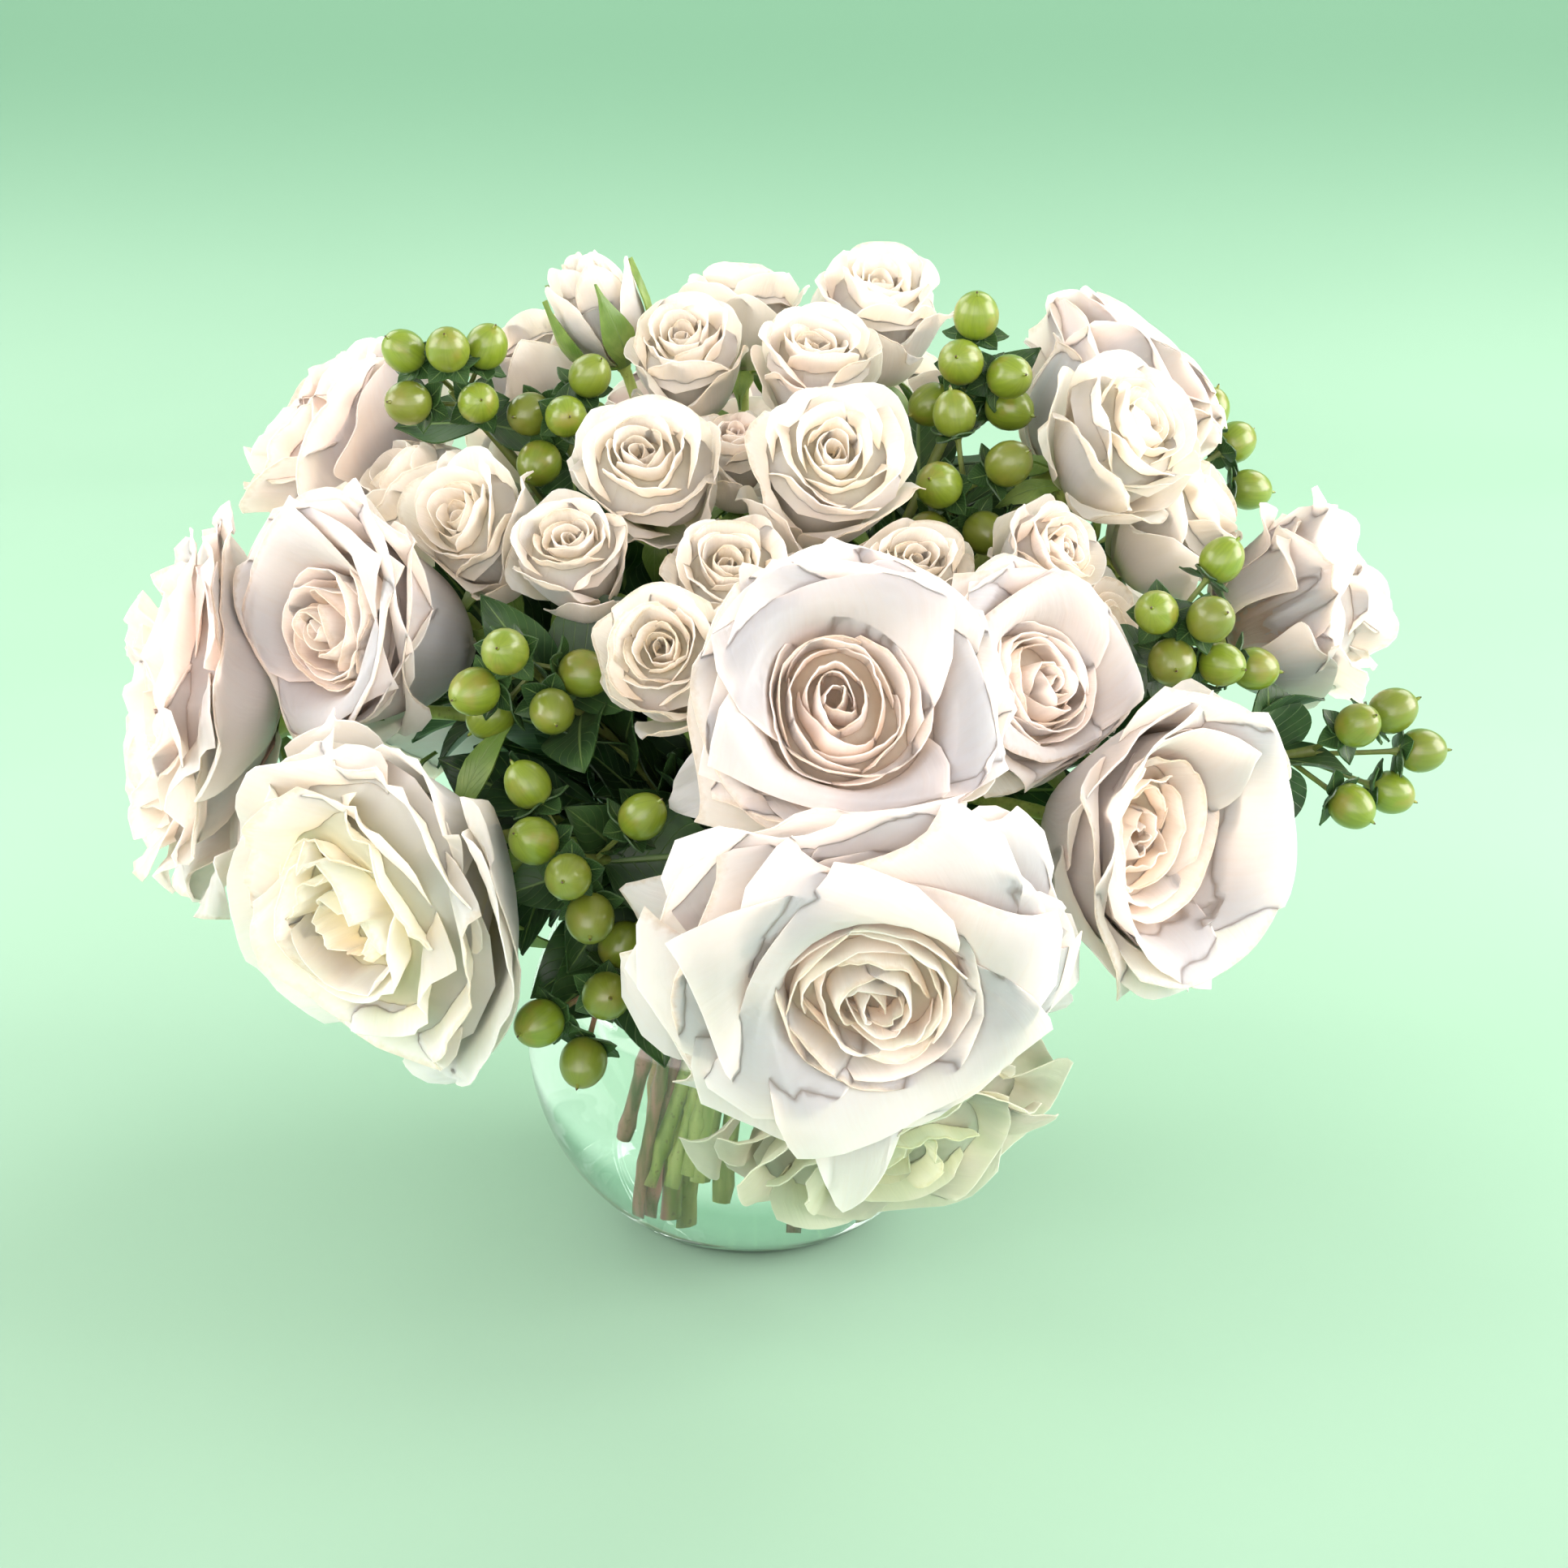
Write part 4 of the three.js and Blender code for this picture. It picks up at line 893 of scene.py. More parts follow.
# How the petals of a bloom change from its heart (0) to its outside (1). A petal rises on a curve
# from its root past its belly and shoulder to its rim, each a share of the bloom's radius and
# height. half is half of the angle that it takes round the bloom, side and top are how far its
# edges and its rim roll back in degrees, drop is how much lower its corners are, point is how flat
# its rim is between them, wave is how much it ruffles, wild how much it strays from its place, and
# oval how oval the heart is.
FORMS = {
    "cup": {
        "petals": 33,
        "ages": [0, 0.19, 0.21, 0.26, 0.57, 0.59, 0.68, 0.79, 1],
        "root": ([0.03, 0.05, 0.06, 0.07, 0.09, 0.10, 0.12, 0.14, 0.16],
                 [0.10, 0.08, 0.07, 0.06, 0.05, 0.03, 0.01, 0, 0]),
        "belly": ([0.12, 0.22, 0.30, 0.38, 0.50, 0.46, 0.70, 0.80, 0.86],
                  [0.16, 0.15, 0.14, 0.12, 0.10, 0.04, 0.04, 0.05, 0.05]),
        "shoulder": ([0.15, 0.26, 0.36, 0.38, 0.47, 0.36, 0.60, 0.74, 0.90],
                     [0.50, 0.55, 0.62, 0.60, 0.62, 0.92, 0.86, 0.80, 0.70]),
        "rim": ([0.05, 0.19, 0.23, 0.29, 0.49, 0.74, 0.82, 0.89, 1.0],
                [0.92, 0.92, 0.92, 0.87, 0.84, 0.98, 0.97, 0.95, 0.86]),
        "half": [165, 120, 110, 96, 78, 68, 64, 62, 60],
        "side": [0, 2, 4, 8, 20, 20, 22, 26, 40],
        "top": [0, 4, 2, 8, 28, 36, 44, 50, 62],
        "drop": [0.10, 0.14, 0.16, 0.14, 0.10, 0.08, 0.12, 0.18, 0.30],
        "point": [2.4, 2.4, 2.0, 2.0, 2.2, 2.2, 2.0, 1.7, 1.35],
        "wave": [0.006, 0.010, 0.011, 0.012, 0.014, 0.009, 0.011, 0.014, 0.020],
        "wild": 0.4,
        "oval": 0.16,
    },
    "open": {
        "petals": 25,
        "ages": [0, 0.2, 0.4, 0.6, 0.8, 1],
        "root": ([0.03, 0.05, 0.07, 0.09, 0.11, 0.13], [0.1, 0.08, 0.05, 0.03, 0, 0]),
        "belly": ([0.12, 0.24, 0.36, 0.50, 0.62, 0.74], [0.2, 0.16, 0.12, 0.08, 0.05, 0.04]),
        "shoulder": ([0.14, 0.30, 0.42, 0.60, 0.78, 0.92], [0.55, 0.66, 0.72, 0.62, 0.46, 0.30]),
        "rim": ([0.10, 0.26, 0.46, 0.66, 0.86, 0.98], [0.84, 0.96, 1.0, 0.92, 0.76, 0.52]),
        "half": [120, 84, 66, 62, 58, 54],
        "side": [30, 50, 70, 80, 90, 100],
        "top": [0, 20, 40, 52, 60, 66],
        "drop": [0.10, 0.12, 0.14, 0.18, 0.24, 0.34],
        "point": [2.4, 2.2, 2.0, 2.0, 1.8, 1.5],
        "wave": [0.03, 0.04, 0.04, 0.036, 0.032, 0.03],
        "wild": 2.0,
        "oval": 0.2,
    },
    "blown": {
        "petals": 33,
        "ages": [0, 0.19, 0.22, 0.57, 0.59, 0.78, 1],
        "root": ([0.03, 0.05, 0.06, 0.08, 0.09, 0.11, 0.13],
                 [0.10, 0.08, 0.07, 0.05, 0.03, 0.01, 0]),
        "belly": ([0.12, 0.22, 0.30, 0.42, 0.42, 0.58, 0.78],
                  [0.16, 0.15, 0.14, 0.10, 0.06, 0.05, 0.04]),
        "shoulder": ([0.12, 0.24, 0.30, 0.42, 0.34, 0.54, 0.94],
                     [0.50, 0.58, 0.60, 0.64, 0.92, 0.82, 0.46]),
        "rim": ([0.05, 0.17, 0.20, 0.46, 0.62, 0.82, 1.0],
                [0.88, 0.90, 0.88, 0.87, 0.98, 0.90, 0.62]),
        "half": [165, 120, 104, 84, 74, 64, 54],
        "side": [0, 6, 14, 30, 28, 50, 90],
        "top": [0, 6, 12, 32, 36, 50, 60],
        "drop": [0.10, 0.12, 0.14, 0.12, 0.10, 0.25, 0.50],
        "point": [2.4, 2.2, 2.2, 2.0, 1.8, 1.5, 1.2],
        "wave": [0.008, 0.012, 0.014, 0.016, 0.010, 0.013, 0.018],
        "wild": 0.6,
        "oval": 0.2,
    },
    "spray": {
        "petals": 21,
        "ages": [0, 0.2, 0.45, 0.7, 0.88, 1],
        "root": ([0.03, 0.06, 0.10, 0.13, 0.15, 0.16], [0.10, 0.08, 0.05, 0.02, 0, 0]),
        "belly": ([0.12, 0.24, 0.42, 0.62, 0.74, 0.82], [0.16, 0.14, 0.12, 0.10, 0.08, 0.06]),
        "shoulder": ([0.15, 0.26, 0.42, 0.62, 0.84, 0.98], [0.55, 0.68, 0.78, 0.76, 0.64, 0.48]),
        "rim": ([0.08, 0.22, 0.42, 0.66, 0.86, 1.0], [0.88, 0.94, 0.99, 0.98, 0.88, 0.70]),
        "half": [165, 110, 80, 62, 54, 47],
        "side": [0, 6, 18, 36, 60, 95],
        "top": [0, 8, 24, 42, 58, 68],
        "drop": [0.10, 0.10, 0.12, 0.16, 0.24, 0.38],
        "point": [2.4, 2.2, 2.2, 2.0, 1.7, 1.3],
        "wave": [0.008, 0.014, 0.02, 0.026, 0.03, 0.034],
        "wild": 0.9,
        "oval": 0.1,
    },
    "bud": {
        "petals": 14,
        "ages": [0, 0.25, 0.5, 0.75, 1],
        "root": ([0.03, 0.08, 0.14, 0.2, 0.24], [0.10, 0.06, 0.03, 0.01, 0]),
        "belly": ([0.2, 0.45, 0.7, 0.9, 1.05], [0.16, 0.12, 0.1, 0.08, 0.06]),
        "shoulder": ([0.16, 0.4, 0.64, 0.88, 1.06], [0.6, 0.66, 0.7, 0.66, 0.6]),
        "rim": ([0.08, 0.2, 0.36, 0.56, 0.84], [1.0, 1.0, 0.98, 0.95, 0.86]),
        "half": [160, 110, 88, 72, 60],
        "side": [0, 4, 10, 24, 50],
        "top": [0, 4, 8, 18, 40],
        "drop": [0.1, 0.12, 0.14, 0.18, 0.24],
        "point": [2.4, 2.2, 2.0, 1.7, 1.4],
        "wave": [0.004, 0.006, 0.01, 0.014, 0.02],
        "wild": 0.4,
        "oval": 0.05,
    },
}

# Forms that differ from another only in part.
FORMS["hollow"] = FORMS["cup"] | {
    "petals": 25,
    "shoulder": ([0.15, 0.26, 0.36, 0.38, 0.52, 0.72, 0.78, 0.84, 0.92],
                 [0.30, 0.32, 0.34, 0.36, 0.44, 0.72, 0.78, 0.78, 0.70]),
    "rim": ([0.05, 0.17, 0.21, 0.29, 0.58, 0.80, 0.86, 0.92, 1.0],
            [0.46, 0.48, 0.50, 0.52, 0.66, 0.99, 0.98, 0.95, 0.86]),
    "wave": [0.02, 0.03, 0.03, 0.028, 0.02, 0.009, 0.011, 0.014, 0.020],
}
FORMS["loose"] = FORMS["open"] | {
    "petals": 18,
    "half": [120, 92, 80, 74, 66, 58],
    "side": [20, 30, 40, 50, 60, 70],
    "wave": [0.020, 0.024, 0.024, 0.022, 0.020, 0.020],
    "wild": 1.2,
}
FORMS["ruffled"] = FORMS["open"] | {
    "petals": 27,
    "wave": [0.040, 0.050, 0.056, 0.058, 0.056, 0.050],
    "drop": [0.10, 0.10, 0.10, 0.12, 0.14, 0.20],
}

# Roses that look different from their form in the table: blown ones spread large outer petals
# round a small tight middle, hollow ones are open down to a low middle, loose ones hang open with
# few petals, and ruffled ones have many wavy petals.
OWN_FORMS = {
    "rose_low_front": "blown",
    "rose_right_front": "hollow",
    "rose_back_right": "hollow",
    "rose_far_right": "open",
    "rose_upper_left": "open",
    "rose_under_front": "loose",
    "rose_back_low": "loose",
    "rose_far_left": "ruffled",
}
# Roses whose tone isn't their slot's own.
OWN_TONES = {
    "rose_far_left": "blush",
    "rose_upper_left": "blush",
    "rose_back_left": "blush",
    "rose_lower_left": "golden",
    "rose_under_front": "greenish",
    "rose_back_low": "greenish",
}
PETAL_PATH = ("root", "belly", "shoulder", "rim")
GOLDEN_TURN = math.radians(137.5)  # from one petal to the next
STRAY_TURN = math.radians(12)
MERIDIAN_STEPS = 60
FINE = 4  # finer steps across a petal that its rolled sides are worked out in
PETAL_THICK = 0.38
SMALL_PETAL_THICK = 0.3
# Waves across a petal, slow ones and fine ones at its rim, and waves through a whole bloom.
RUFFLES = (1.3, 2.2, 3.6)
CRIMPS = (7, 11)
STRAYS = (1.3, 2.3, 3.7)
# The bed of folds below the rims and the heart's shift aside, as shares of the bloom.
BED_DEPTH = 0.15
BED_WIDE = 0.8
HEART_ASIDE = 0.07
# A loose petal: how its corners hang, and its middle line as shares of its length.
LOOSE_DROP = 0.42
LOOSE_POINT = 1.3
LOOSE_PATH = [(0, 0), (0.24, 0.12), (0.7, 0.13), (1, 0.0)]


def smoothstep(low, high, x):
    t = np.clip((x - low) / (high - low), 0, 1)
    return t * t * (3 - 2 * t)


def laid(start, way, face, along, aside, up):
    """A sheet's points in space, from how far they lie along a way, to its side and up to a face."""
    forward = unit(way)
    across = unit(np.cross(forward, face))
    rise = np.cross(across, forward)
    return start + along[..., None] * forward + aside[..., None] * across + up[..., None] * rise


def turned(points, angle):
    """Points turned about +Z."""
    c, s = math.cos(angle), math.sin(angle)
    out, sideways, up = np.moveaxis(points, -1, 0)
    return np.stack([out * c - sideways * s, out * s + sideways * c, up], axis=-1)


def at_age(form, age):
    """What a form says of a petal at an age: single numbers, and pairs for the points on its path."""
    said = {}
    for key, value in form.items():
        if isinstance(value, tuple):
            said[key] = np.array([np.interp(age, form["ages"], part) for part in value])
        elif isinstance(value, list):
            said[key] = np.interp(age, form["ages"], value)
    return said


def rolled_meridian(controls, roll):
    """A petal's middle line, as the share of its length, the place (out, up) and the slope at each
    step, with its rim rolled back by an angle on the way."""
    share = np.linspace(0, 1, MERIDIAN_STEPS + 1)
    line = bezier([np.append(point, 0) for point in controls], share)[:, :2]
    steps = np.diff(line, axis=0)
    long = np.linalg.norm(steps, axis=1)
    middle = (share[1:] + share[:-1]) / 2
    slope = np.arctan2(steps[:, 1], steps[:, 0]) - roll * smoothstep(0.62, 1, middle) ** 1.5
    rolled = np.cumsum(np.stack([np.cos(slope), np.sin(slope)], axis=1) * long[:, None], axis=0)
    return share, line[0] + np.vstack([[0, 0], rolled]), np.append(slope, slope[-1])


def from_middle(rows):
    """Rows of numbers, each less the number in its middle."""
    middle = rows.shape[1] // 2
    return rows - rows[:, middle: middle + 1]


def rolled_sides(width, bend, roll, columns, draw):
    """How far sideways and inwards the points of a petal lie, row by row, as it bends round its
    bloom and its edges roll back, one more than the other."""
    across = np.linspace(-1, 1, (columns - 1) * FINE + 1)
    step = across[1] - across[0]
    uneven = 1 + 0.35 * draw.uniform(-1, 1, 2)
    edge = smoothstep(0.45, 1, np.abs(across)) * np.where(across < 0, uneven[0], uneven[1])
    turning = bend[:, None] * width[:, None] - 3.0 * roll[:, None] * edge
    angle = from_middle(np.cumsum(turning, axis=1) * step)
    return [from_middle(np.cumsum(way(angle), axis=1) * step * width[:, None])[:, ::FINE]
            for way in (np.cos, np.sin)]


def ruffled(sheet, wave, lean, draw):
    """How far a petal's points stand off: a lean to one side, slow ruffles and crimps at the rim."""
    u, v = sheet["u"], sheet["v"]
    slow = sum(np.sin(u * math.pi * turns + draw.uniform(0, 2 * math.pi)) / turns**0.7
               for turns in RUFFLES)
    crimps = sum(np.sin(u * math.pi * turns + draw.uniform(0, 6)) for turns in CRIMPS)
    slow = slow * wave * smoothstep(0.2, 1, v) + lean * u
    return slow + crimps * 0.25 * wave * smoothstep(0.8, 1, v)


def petal(sheet, controls, half, side, top, drop, tip, wave, draw, lean=0.0, point=2.4):
    """A petal in the plane of its middle line: its points as (out, sideways, up)."""
    u, v = sheet["u"], sheet["v"]
    share, line, slope = rolled_meridian(controls, top)
    rows = v[:, 0]
    # It is narrow at its claw, full from its middle up, and a little narrower again at its rim.
    width = half * (0.26 + 0.74 * smoothstep(-0.05, 0.62, rows)) * (1 - 0.18 * smoothstep(0.75, 1, rows))
    round_ = np.maximum(np.interp(rows, share, line[:, 0]), half * 0.16)
    bend = np.sin(np.interp(rows, share, slope)) / round_
    roll = side * smoothstep(0.55, 1, rows)
    sideways, inwards = rolled_sides(width, bend, roll, u.shape[1], draw)
    # Each point lies as far along the middle line as its row, less at the corners, more at the tip.
    reach = v * (1 - drop * np.abs(u) ** point + tip * (np.exp(-np.abs(u) / 0.14) - 0.3))
    reach = np.clip(reach, 0, 1)
    out, up, tilt = (np.interp(reach, share, part) for part in (line[:, 0], line[:, 1], slope))
    push = ruffled(sheet, wave, lean, draw) - inwards
    return np.stack([out + np.sin(tilt) * push, sideways, up - np.cos(tilt) * push], axis=-1)


def bed(sheet, form, radius, height):
    """The dense folds that close the view between a bloom's petals, a little below their rims."""
    u, v = sheet["u"], sheet["v"]
    out = v * BED_WIDE
    rims = np.interp(out, *form["rim"])
    up = rims - BED_DEPTH - 0.12 * smoothstep(0.45, 1, v) - 0.06 * (1 - v)
    angle = u * math.pi
    up = up + 0.02 * np.sin(5 * angle + 9 * v) * v
    return np.stack([out * radius * np.cos(angle), out * radius * np.sin(angle), up * height], axis=-1)


def strayed(points, draw):
    """Slow waves in space that take a bloom out of true."""
    shift = np.zeros_like(points)
    for turns in STRAYS:
        way = draw.normal(size=(3, 3)) * turns
        phase = draw.uniform(0, 2 * math.pi, 3)
        shift = shift + np.sin(points @ way + phase) / turns
    return shift * smoothstep(0, 0.7, np.linalg.norm(points, axis=-1))[..., None]


def bloom_petal(sheet, form, age, radius, height, draw):
    """One petal of a bloom about +Z, before it's turned to its own side."""
    now = at_age(form, age)
    stray = 0.05 * form["wild"]
    size = 1 + stray * draw.uniform(-1, 1)
    controls = [now[key] * (radius * size, height * (1 + stray * draw.uniform(-1, 1)))
                for key in PETAL_PATH]
    half = math.radians(now["half"]) * now["rim"][0] * radius * draw.uniform(0.9, 1.1)
    side = math.radians(now["side"]) * draw.uniform(0.4, 1.3)
    top = math.radians(now["top"]) * draw.uniform(0.4, 1.3)
    tip = 0.10 * smoothstep(0.5, 1, age) * draw.uniform(0.2, 1)
    wave = now["wave"] * radius * draw.uniform(0.6, 1.4)
    lean = radius * (0.03 + 0.05 * (1 - age))
    return petal(sheet, controls, half, side, top, now["drop"], tip, wave, draw, lean, now["point"])


def bloom_petals(head, sheet):
    """All the petals of a bloom, in millimetres where they stand, with their notes: age, a number
    of their own, and whether they are its bed."""
    form = FORMS[OWN_FORMS.get(head.name, head.form)]
    draw = draws_of(head.name)
    radius, height = head.wide / 2, head.deep
    copies, notes = [], []
    for index in range(form["petals"]):
        age = index / (form["petals"] - 1)
        points = bloom_petal(sheet, form, age, radius, height, draw)
        turn = index * GOLDEN_TURN + STRAY_TURN * form["wild"] * draw.uniform(-1, 1)
        copies.append(turned(points, turn))
        notes.append((age, draw.uniform(), 0))
    copies.append(bed(sheet, form, radius, height))
    notes.append((0, 0, 1))
    shape = np.array(copies)
    # The heart lies a little to one side of the middle, and is a little oval.
    near = np.exp(-(shape[..., 0] ** 2 + shape[..., 1] ** 2) / (0.5 * radius) ** 2)
    aside = draw.uniform(0, 2 * math.pi)
    for axis, way, squeeze in ((0, math.cos(aside), -1), (1, math.sin(aside), 1)):
        shape[..., axis] += near * radius * HEART_ASIDE * way
        shape[..., axis] *= 1 + squeeze * form["oval"] * near
    shape = shape + strayed(shape / radius, draw) * radius * 0.035 * (0.85 + form["wild"])
    return shape @ head.turn.T + head.base, notes


def loose_petal(head, tip, wide, sheet, draw):
    """An outer petal that hangs away from its bloom, from the calyx to its tip."""
    root = head.base + head.axis * head.deep * 0.07
    way = head.middle + np.array(tip) - root
    controls = [np.array(point) * np.linalg.norm(way) for point in LOOSE_PATH]
    points = petal(sheet, controls, wide / 2, math.radians(45), math.radians(30), LOOSE_DROP, 0.05,
                   1.0, draw, point=LOOSE_POINT)
    return laid(root, way, head.axis, *np.moveaxis(points, -1, 0))


def make_blooms(finishes):
    """Every bloom as one piece of petals. Small ones are cream and have a blank of their own."""
    large = (blank(15, 16), PETAL_THICK, 4, "ivory")
    small = (blank(11, 12), SMALL_PETAL_THICK, 3, "cream")
    for head in blooms:
        sheet, thick, margin, tone = small if head.wide < SMALL_HEAD else large
        points, notes = bloom_petals(head, sheet)
        draw = draws_of(head.name, 1)
        loose = [loose_petal(head, tip, wide, sheet, draw)
                 for name, tip, wide in LOOSE_PETALS if name == head.name]
        points = [*kept_inside(eased(points, head), head.cell, margin), *loose]
        notes = [*notes, *((1.0, draw.uniform(), 0) for _ in loose)]
        piece = sheets(head.name + "_petals", sheet, points, notes, thick)
        finish = finishes[OWN_TONES.get(head.name, tone) + "_petal"]
        placed(piece, finish, tone + "_petals", head.name)


# ---------------------------------------------------------------- leaves and stems


def leaf_points(sheet, start, tip, wide, face, cupped, droop, draw):
    """A leaf from a point to its tip, folded a little along its midrib and arched along its length."""
    u, v = sheet["u"], sheet["v"]
    way = tip - start
    long = np.linalg.norm(way)
    outline = np.sin(math.pi * np.clip(v * 1.02, 0, 1) ** 0.72) ** 0.8
    half = wide / 2 * np.maximum(outline, 0.05 * (1 - v))
    wave = 0.03 * long * np.sin(v * 9 + draw.uniform(0, 6)) * np.abs(u) ** 1.5
    lift = cupped * half * np.abs(u) ** 1.3 - droop * long * (v**2 - v) + wave
    side = half * u * (1 - 0.1 * cupped)
    return laid(start, way, face, v * long, side, lift)


def inside_bloom(points):
    """Which points lie inside some bloom's own room."""
    inside = np.zeros(len(points), bool)
    for head in blooms:
        away = points - head.middle
        along = away @ head.axis
        out = np.linalg.norm(away - along[:, None] * head.axis, axis=1)
        inside |= (2 * along / head.deep) ** 2 + (2 * out / head.wide) ** 2 < CLEAR_OF_BLOOM
    return inside


def has_room(blade, berries):
    """Whether a leaf stays in the part's box and clear of the blooms and of these berries."""
    # The foot of a leaf lies on its stem, so its first rows aren't tested.
    tested = blade[LEAF_FOOT_ROWS:, ::2].reshape(-1, 3)
    low, high = (np.array(corner) / MM for corner in cad_box)
    if inside_bloom(tested).any() or (tested < low + 1).any() or (tested > high - 1).any():
        return False
    near = [np.linalg.norm(tested - berry, axis=1).min() for berry in berries]
    return not near or min(near) >= CLEAR_OF_BERRY


def filler_leaves(sheet, line, size, berries, draw):
    """Leaves that leave a stem where there is room between the blooms, and point outwards."""
    long, wide = size
    blades = []
    for _ in range(LEAF_TRIES):
        if len(blades) == LEAVES_EACH:
            break
        at = draw.uniform(0.3, 0.97) * (len(line) - 1)
        i = min(int(at), len(line) - 2)
        start = line[i] + (line[i + 1] - line[i]) * (at - i)
        if start[2] < LEAF_LOW:
            continue
        along = unit(line[i + 1] - line[i])
        outward = unit(start - HUB)
        way = unit(outward * 0.9 + along * 0.4 + draw.normal(size=3) * 0.55)
        grown = draw.uniform(0.75, 1.15)
        tip = start + way * long * grown
        face = unit(outward + np.array([0, 0, 0.4]) + draw.normal(size=3) * 0.35)
        if np.linalg.norm(np.cross(way, face)) < 0.3:
            continue
        blade = leaf_points(sheet, start, tip, wide * grown, face, 0.25, draw.uniform(0.0, 0.3), draw)
        if has_room(blade, berries):
            blades.append(blade)
    return blades


def sepal_points(head, sheet, index):
    """One of the five green sepals under a bloom, as points where it stands. They stand up round
    a bud and turn down under the others."""
    radius = CALYX_SHARE * head.wide / 2
    if head.form == "bud":
        controls = [(radius * 0.8, -1), (head.wide * 0.62, head.deep * 0.1),
                    (head.wide * 0.6, head.deep * 0.5), (head.wide * 0.5, head.deep * 0.8)]
    else:
        long = head.wide * (0.42 if head.form == "spray" else 0.34)
        controls = [(radius * 0.8, -0.6), (radius + long * 0.3, -long * 0.02),
                    (radius + long * 0.6, -long * 0.3), (radius + long * 0.7, -long * 0.75)]
    draw = draws_of(head.name, index)
    width = {"bud": 6.5, "spray": 4.6}.get(head.form, 2.6 + head.wide * 0.03)
    points = petal(sheet, [np.array(c, float) for c in controls], width, 0.0, 0.2, 0.0, 0.0, 0.4, draw)
    points[..., 1] *= smoothstep(1.02, 0.35, sheet["v"])
    return turned(points, SEPAL_TURN * index) @ head.turn.T + head.base


def knotted(radii, draw):
    """Radii with a knot every few steps along the lower stem, where a leaf once stood."""
    radii = list(radii)
    for i in range(int(draw.integers(1, NODE_STEP)), LOW_STEPS, NODE_STEP):
        radii[i] *= draw.uniform(1.2, 1.45)
    return radii


def make_stems(finishes):
    """The roses' stems, bundle by bundle, with their cups, sepals and leaves."""
    sepal_sheet, leaf_sheet = blank(8, 4), blank(14, 10)
    all_berries = [place for head, row in zip(clusters, HYPERICUM)
                   for place in berry_places(head, *row[3:5])]
    for name in BUNDLES:
        draw = draws_of(name)
        tubes, sepals, leaves = [], [], []
        for strand in [strand for strand in strands if strand["node"] == name]:
            line = stem_line(strand)
            if len(strand["heads"]) == 1:
                points, radii = with_cup(line, strand["heads"][0], STEM_RADIUS)
                tubes.append(tube(points, knotted(radii, draw)))
            else:
                tubes.append(tube(line, knotted([STEM_RADIUS] * len(line), draw)))
                tubes += [tube(*with_cup(branch_line(strand, head), head, STEM_RADIUS * 0.8))
                          for head in strand["heads"]]
            leaves += filler_leaves(leaf_sheet, line, ROSE_LEAF, all_berries, draw)
            sepals += [sepal_points(head, sepal_sheet, index)
                       for head in strand["heads"] for index in range(SEPALS)]
        place_stalks(name, tubes, finishes["rose_stem"], "stems")
        place_leaves(name, "sepals", sepal_sheet, sepals, SEPAL_THICK, finishes["rose_sepal"], "stems")
        place_leaves(name, "leaves", leaf_sheet, leaves, LEAF_THICK, finishes["rose_leaf"], "stems")


# ---------------------------------------------------------------- hypericum


def berry_places(head, side, berries):
    """Where a cluster's berries hang, pushed apart until none touches another."""
    places = []
    for right, up in berries:
        depth = math.sqrt(max(0, BERRY_REACH**2 - right**2 - up**2))
        places.append(head.middle + np.array([right, side * depth, up]))
    for _ in range(BERRY_SETTLING):
        for i in range(len(places)):
            for j in range(i + 1, len(places)):
                apart = places[j] - places[i]
                far = np.linalg.norm(apart)
                short = BERRY_ROOM - far
                if short > 0:
                    push = apart / far * short / 2
                    places[i] = places[i] - push
                    places[j] = places[j] + push
            for normal, offset, _, _ in head.cell:
                short = offset + BERRY_ROOM / 2 - normal @ places[i]
                if short > 0:
                    places[i] = places[i] + normal * short
    return places


def berry_pattern():
    """One berry about the origin, its tip along +Z, with a short dark beak."""
    half_long, half_wide = BERRY_LONG / 2, BERRY_WIDE / 2
    rings = []
    for i in range(BERRY_RINGS + 1):
        turn = math.pi * (i / BERRY_RINGS - 0.5)
        wide = half_wide * math.cos(turn) ** 0.94 if 0 < i < BERRY_RINGS else 0.35
        rings.append((wide * (1 - 0.07 * math.sin(turn)), half_long * math.sin(turn)))
    rings[-1:] = [(0.6, half_long), (0.42, half_long + 0.9), (0.15, half_long + 1.5)]
    shape, faces = taken_apart(thrown("berry_pattern", rings, 20))
    shape = shape / MM
    around = np.arctan2(shape[:, 1], shape[:, 0]) / (2 * math.pi) + 0.5
    along = (shape[:, 2] - shape[:, 2].min()) / np.ptp(shape[:, 2])
    return {"shape": shape, "faces": faces, "flat": np.stack([around, along], axis=1)}


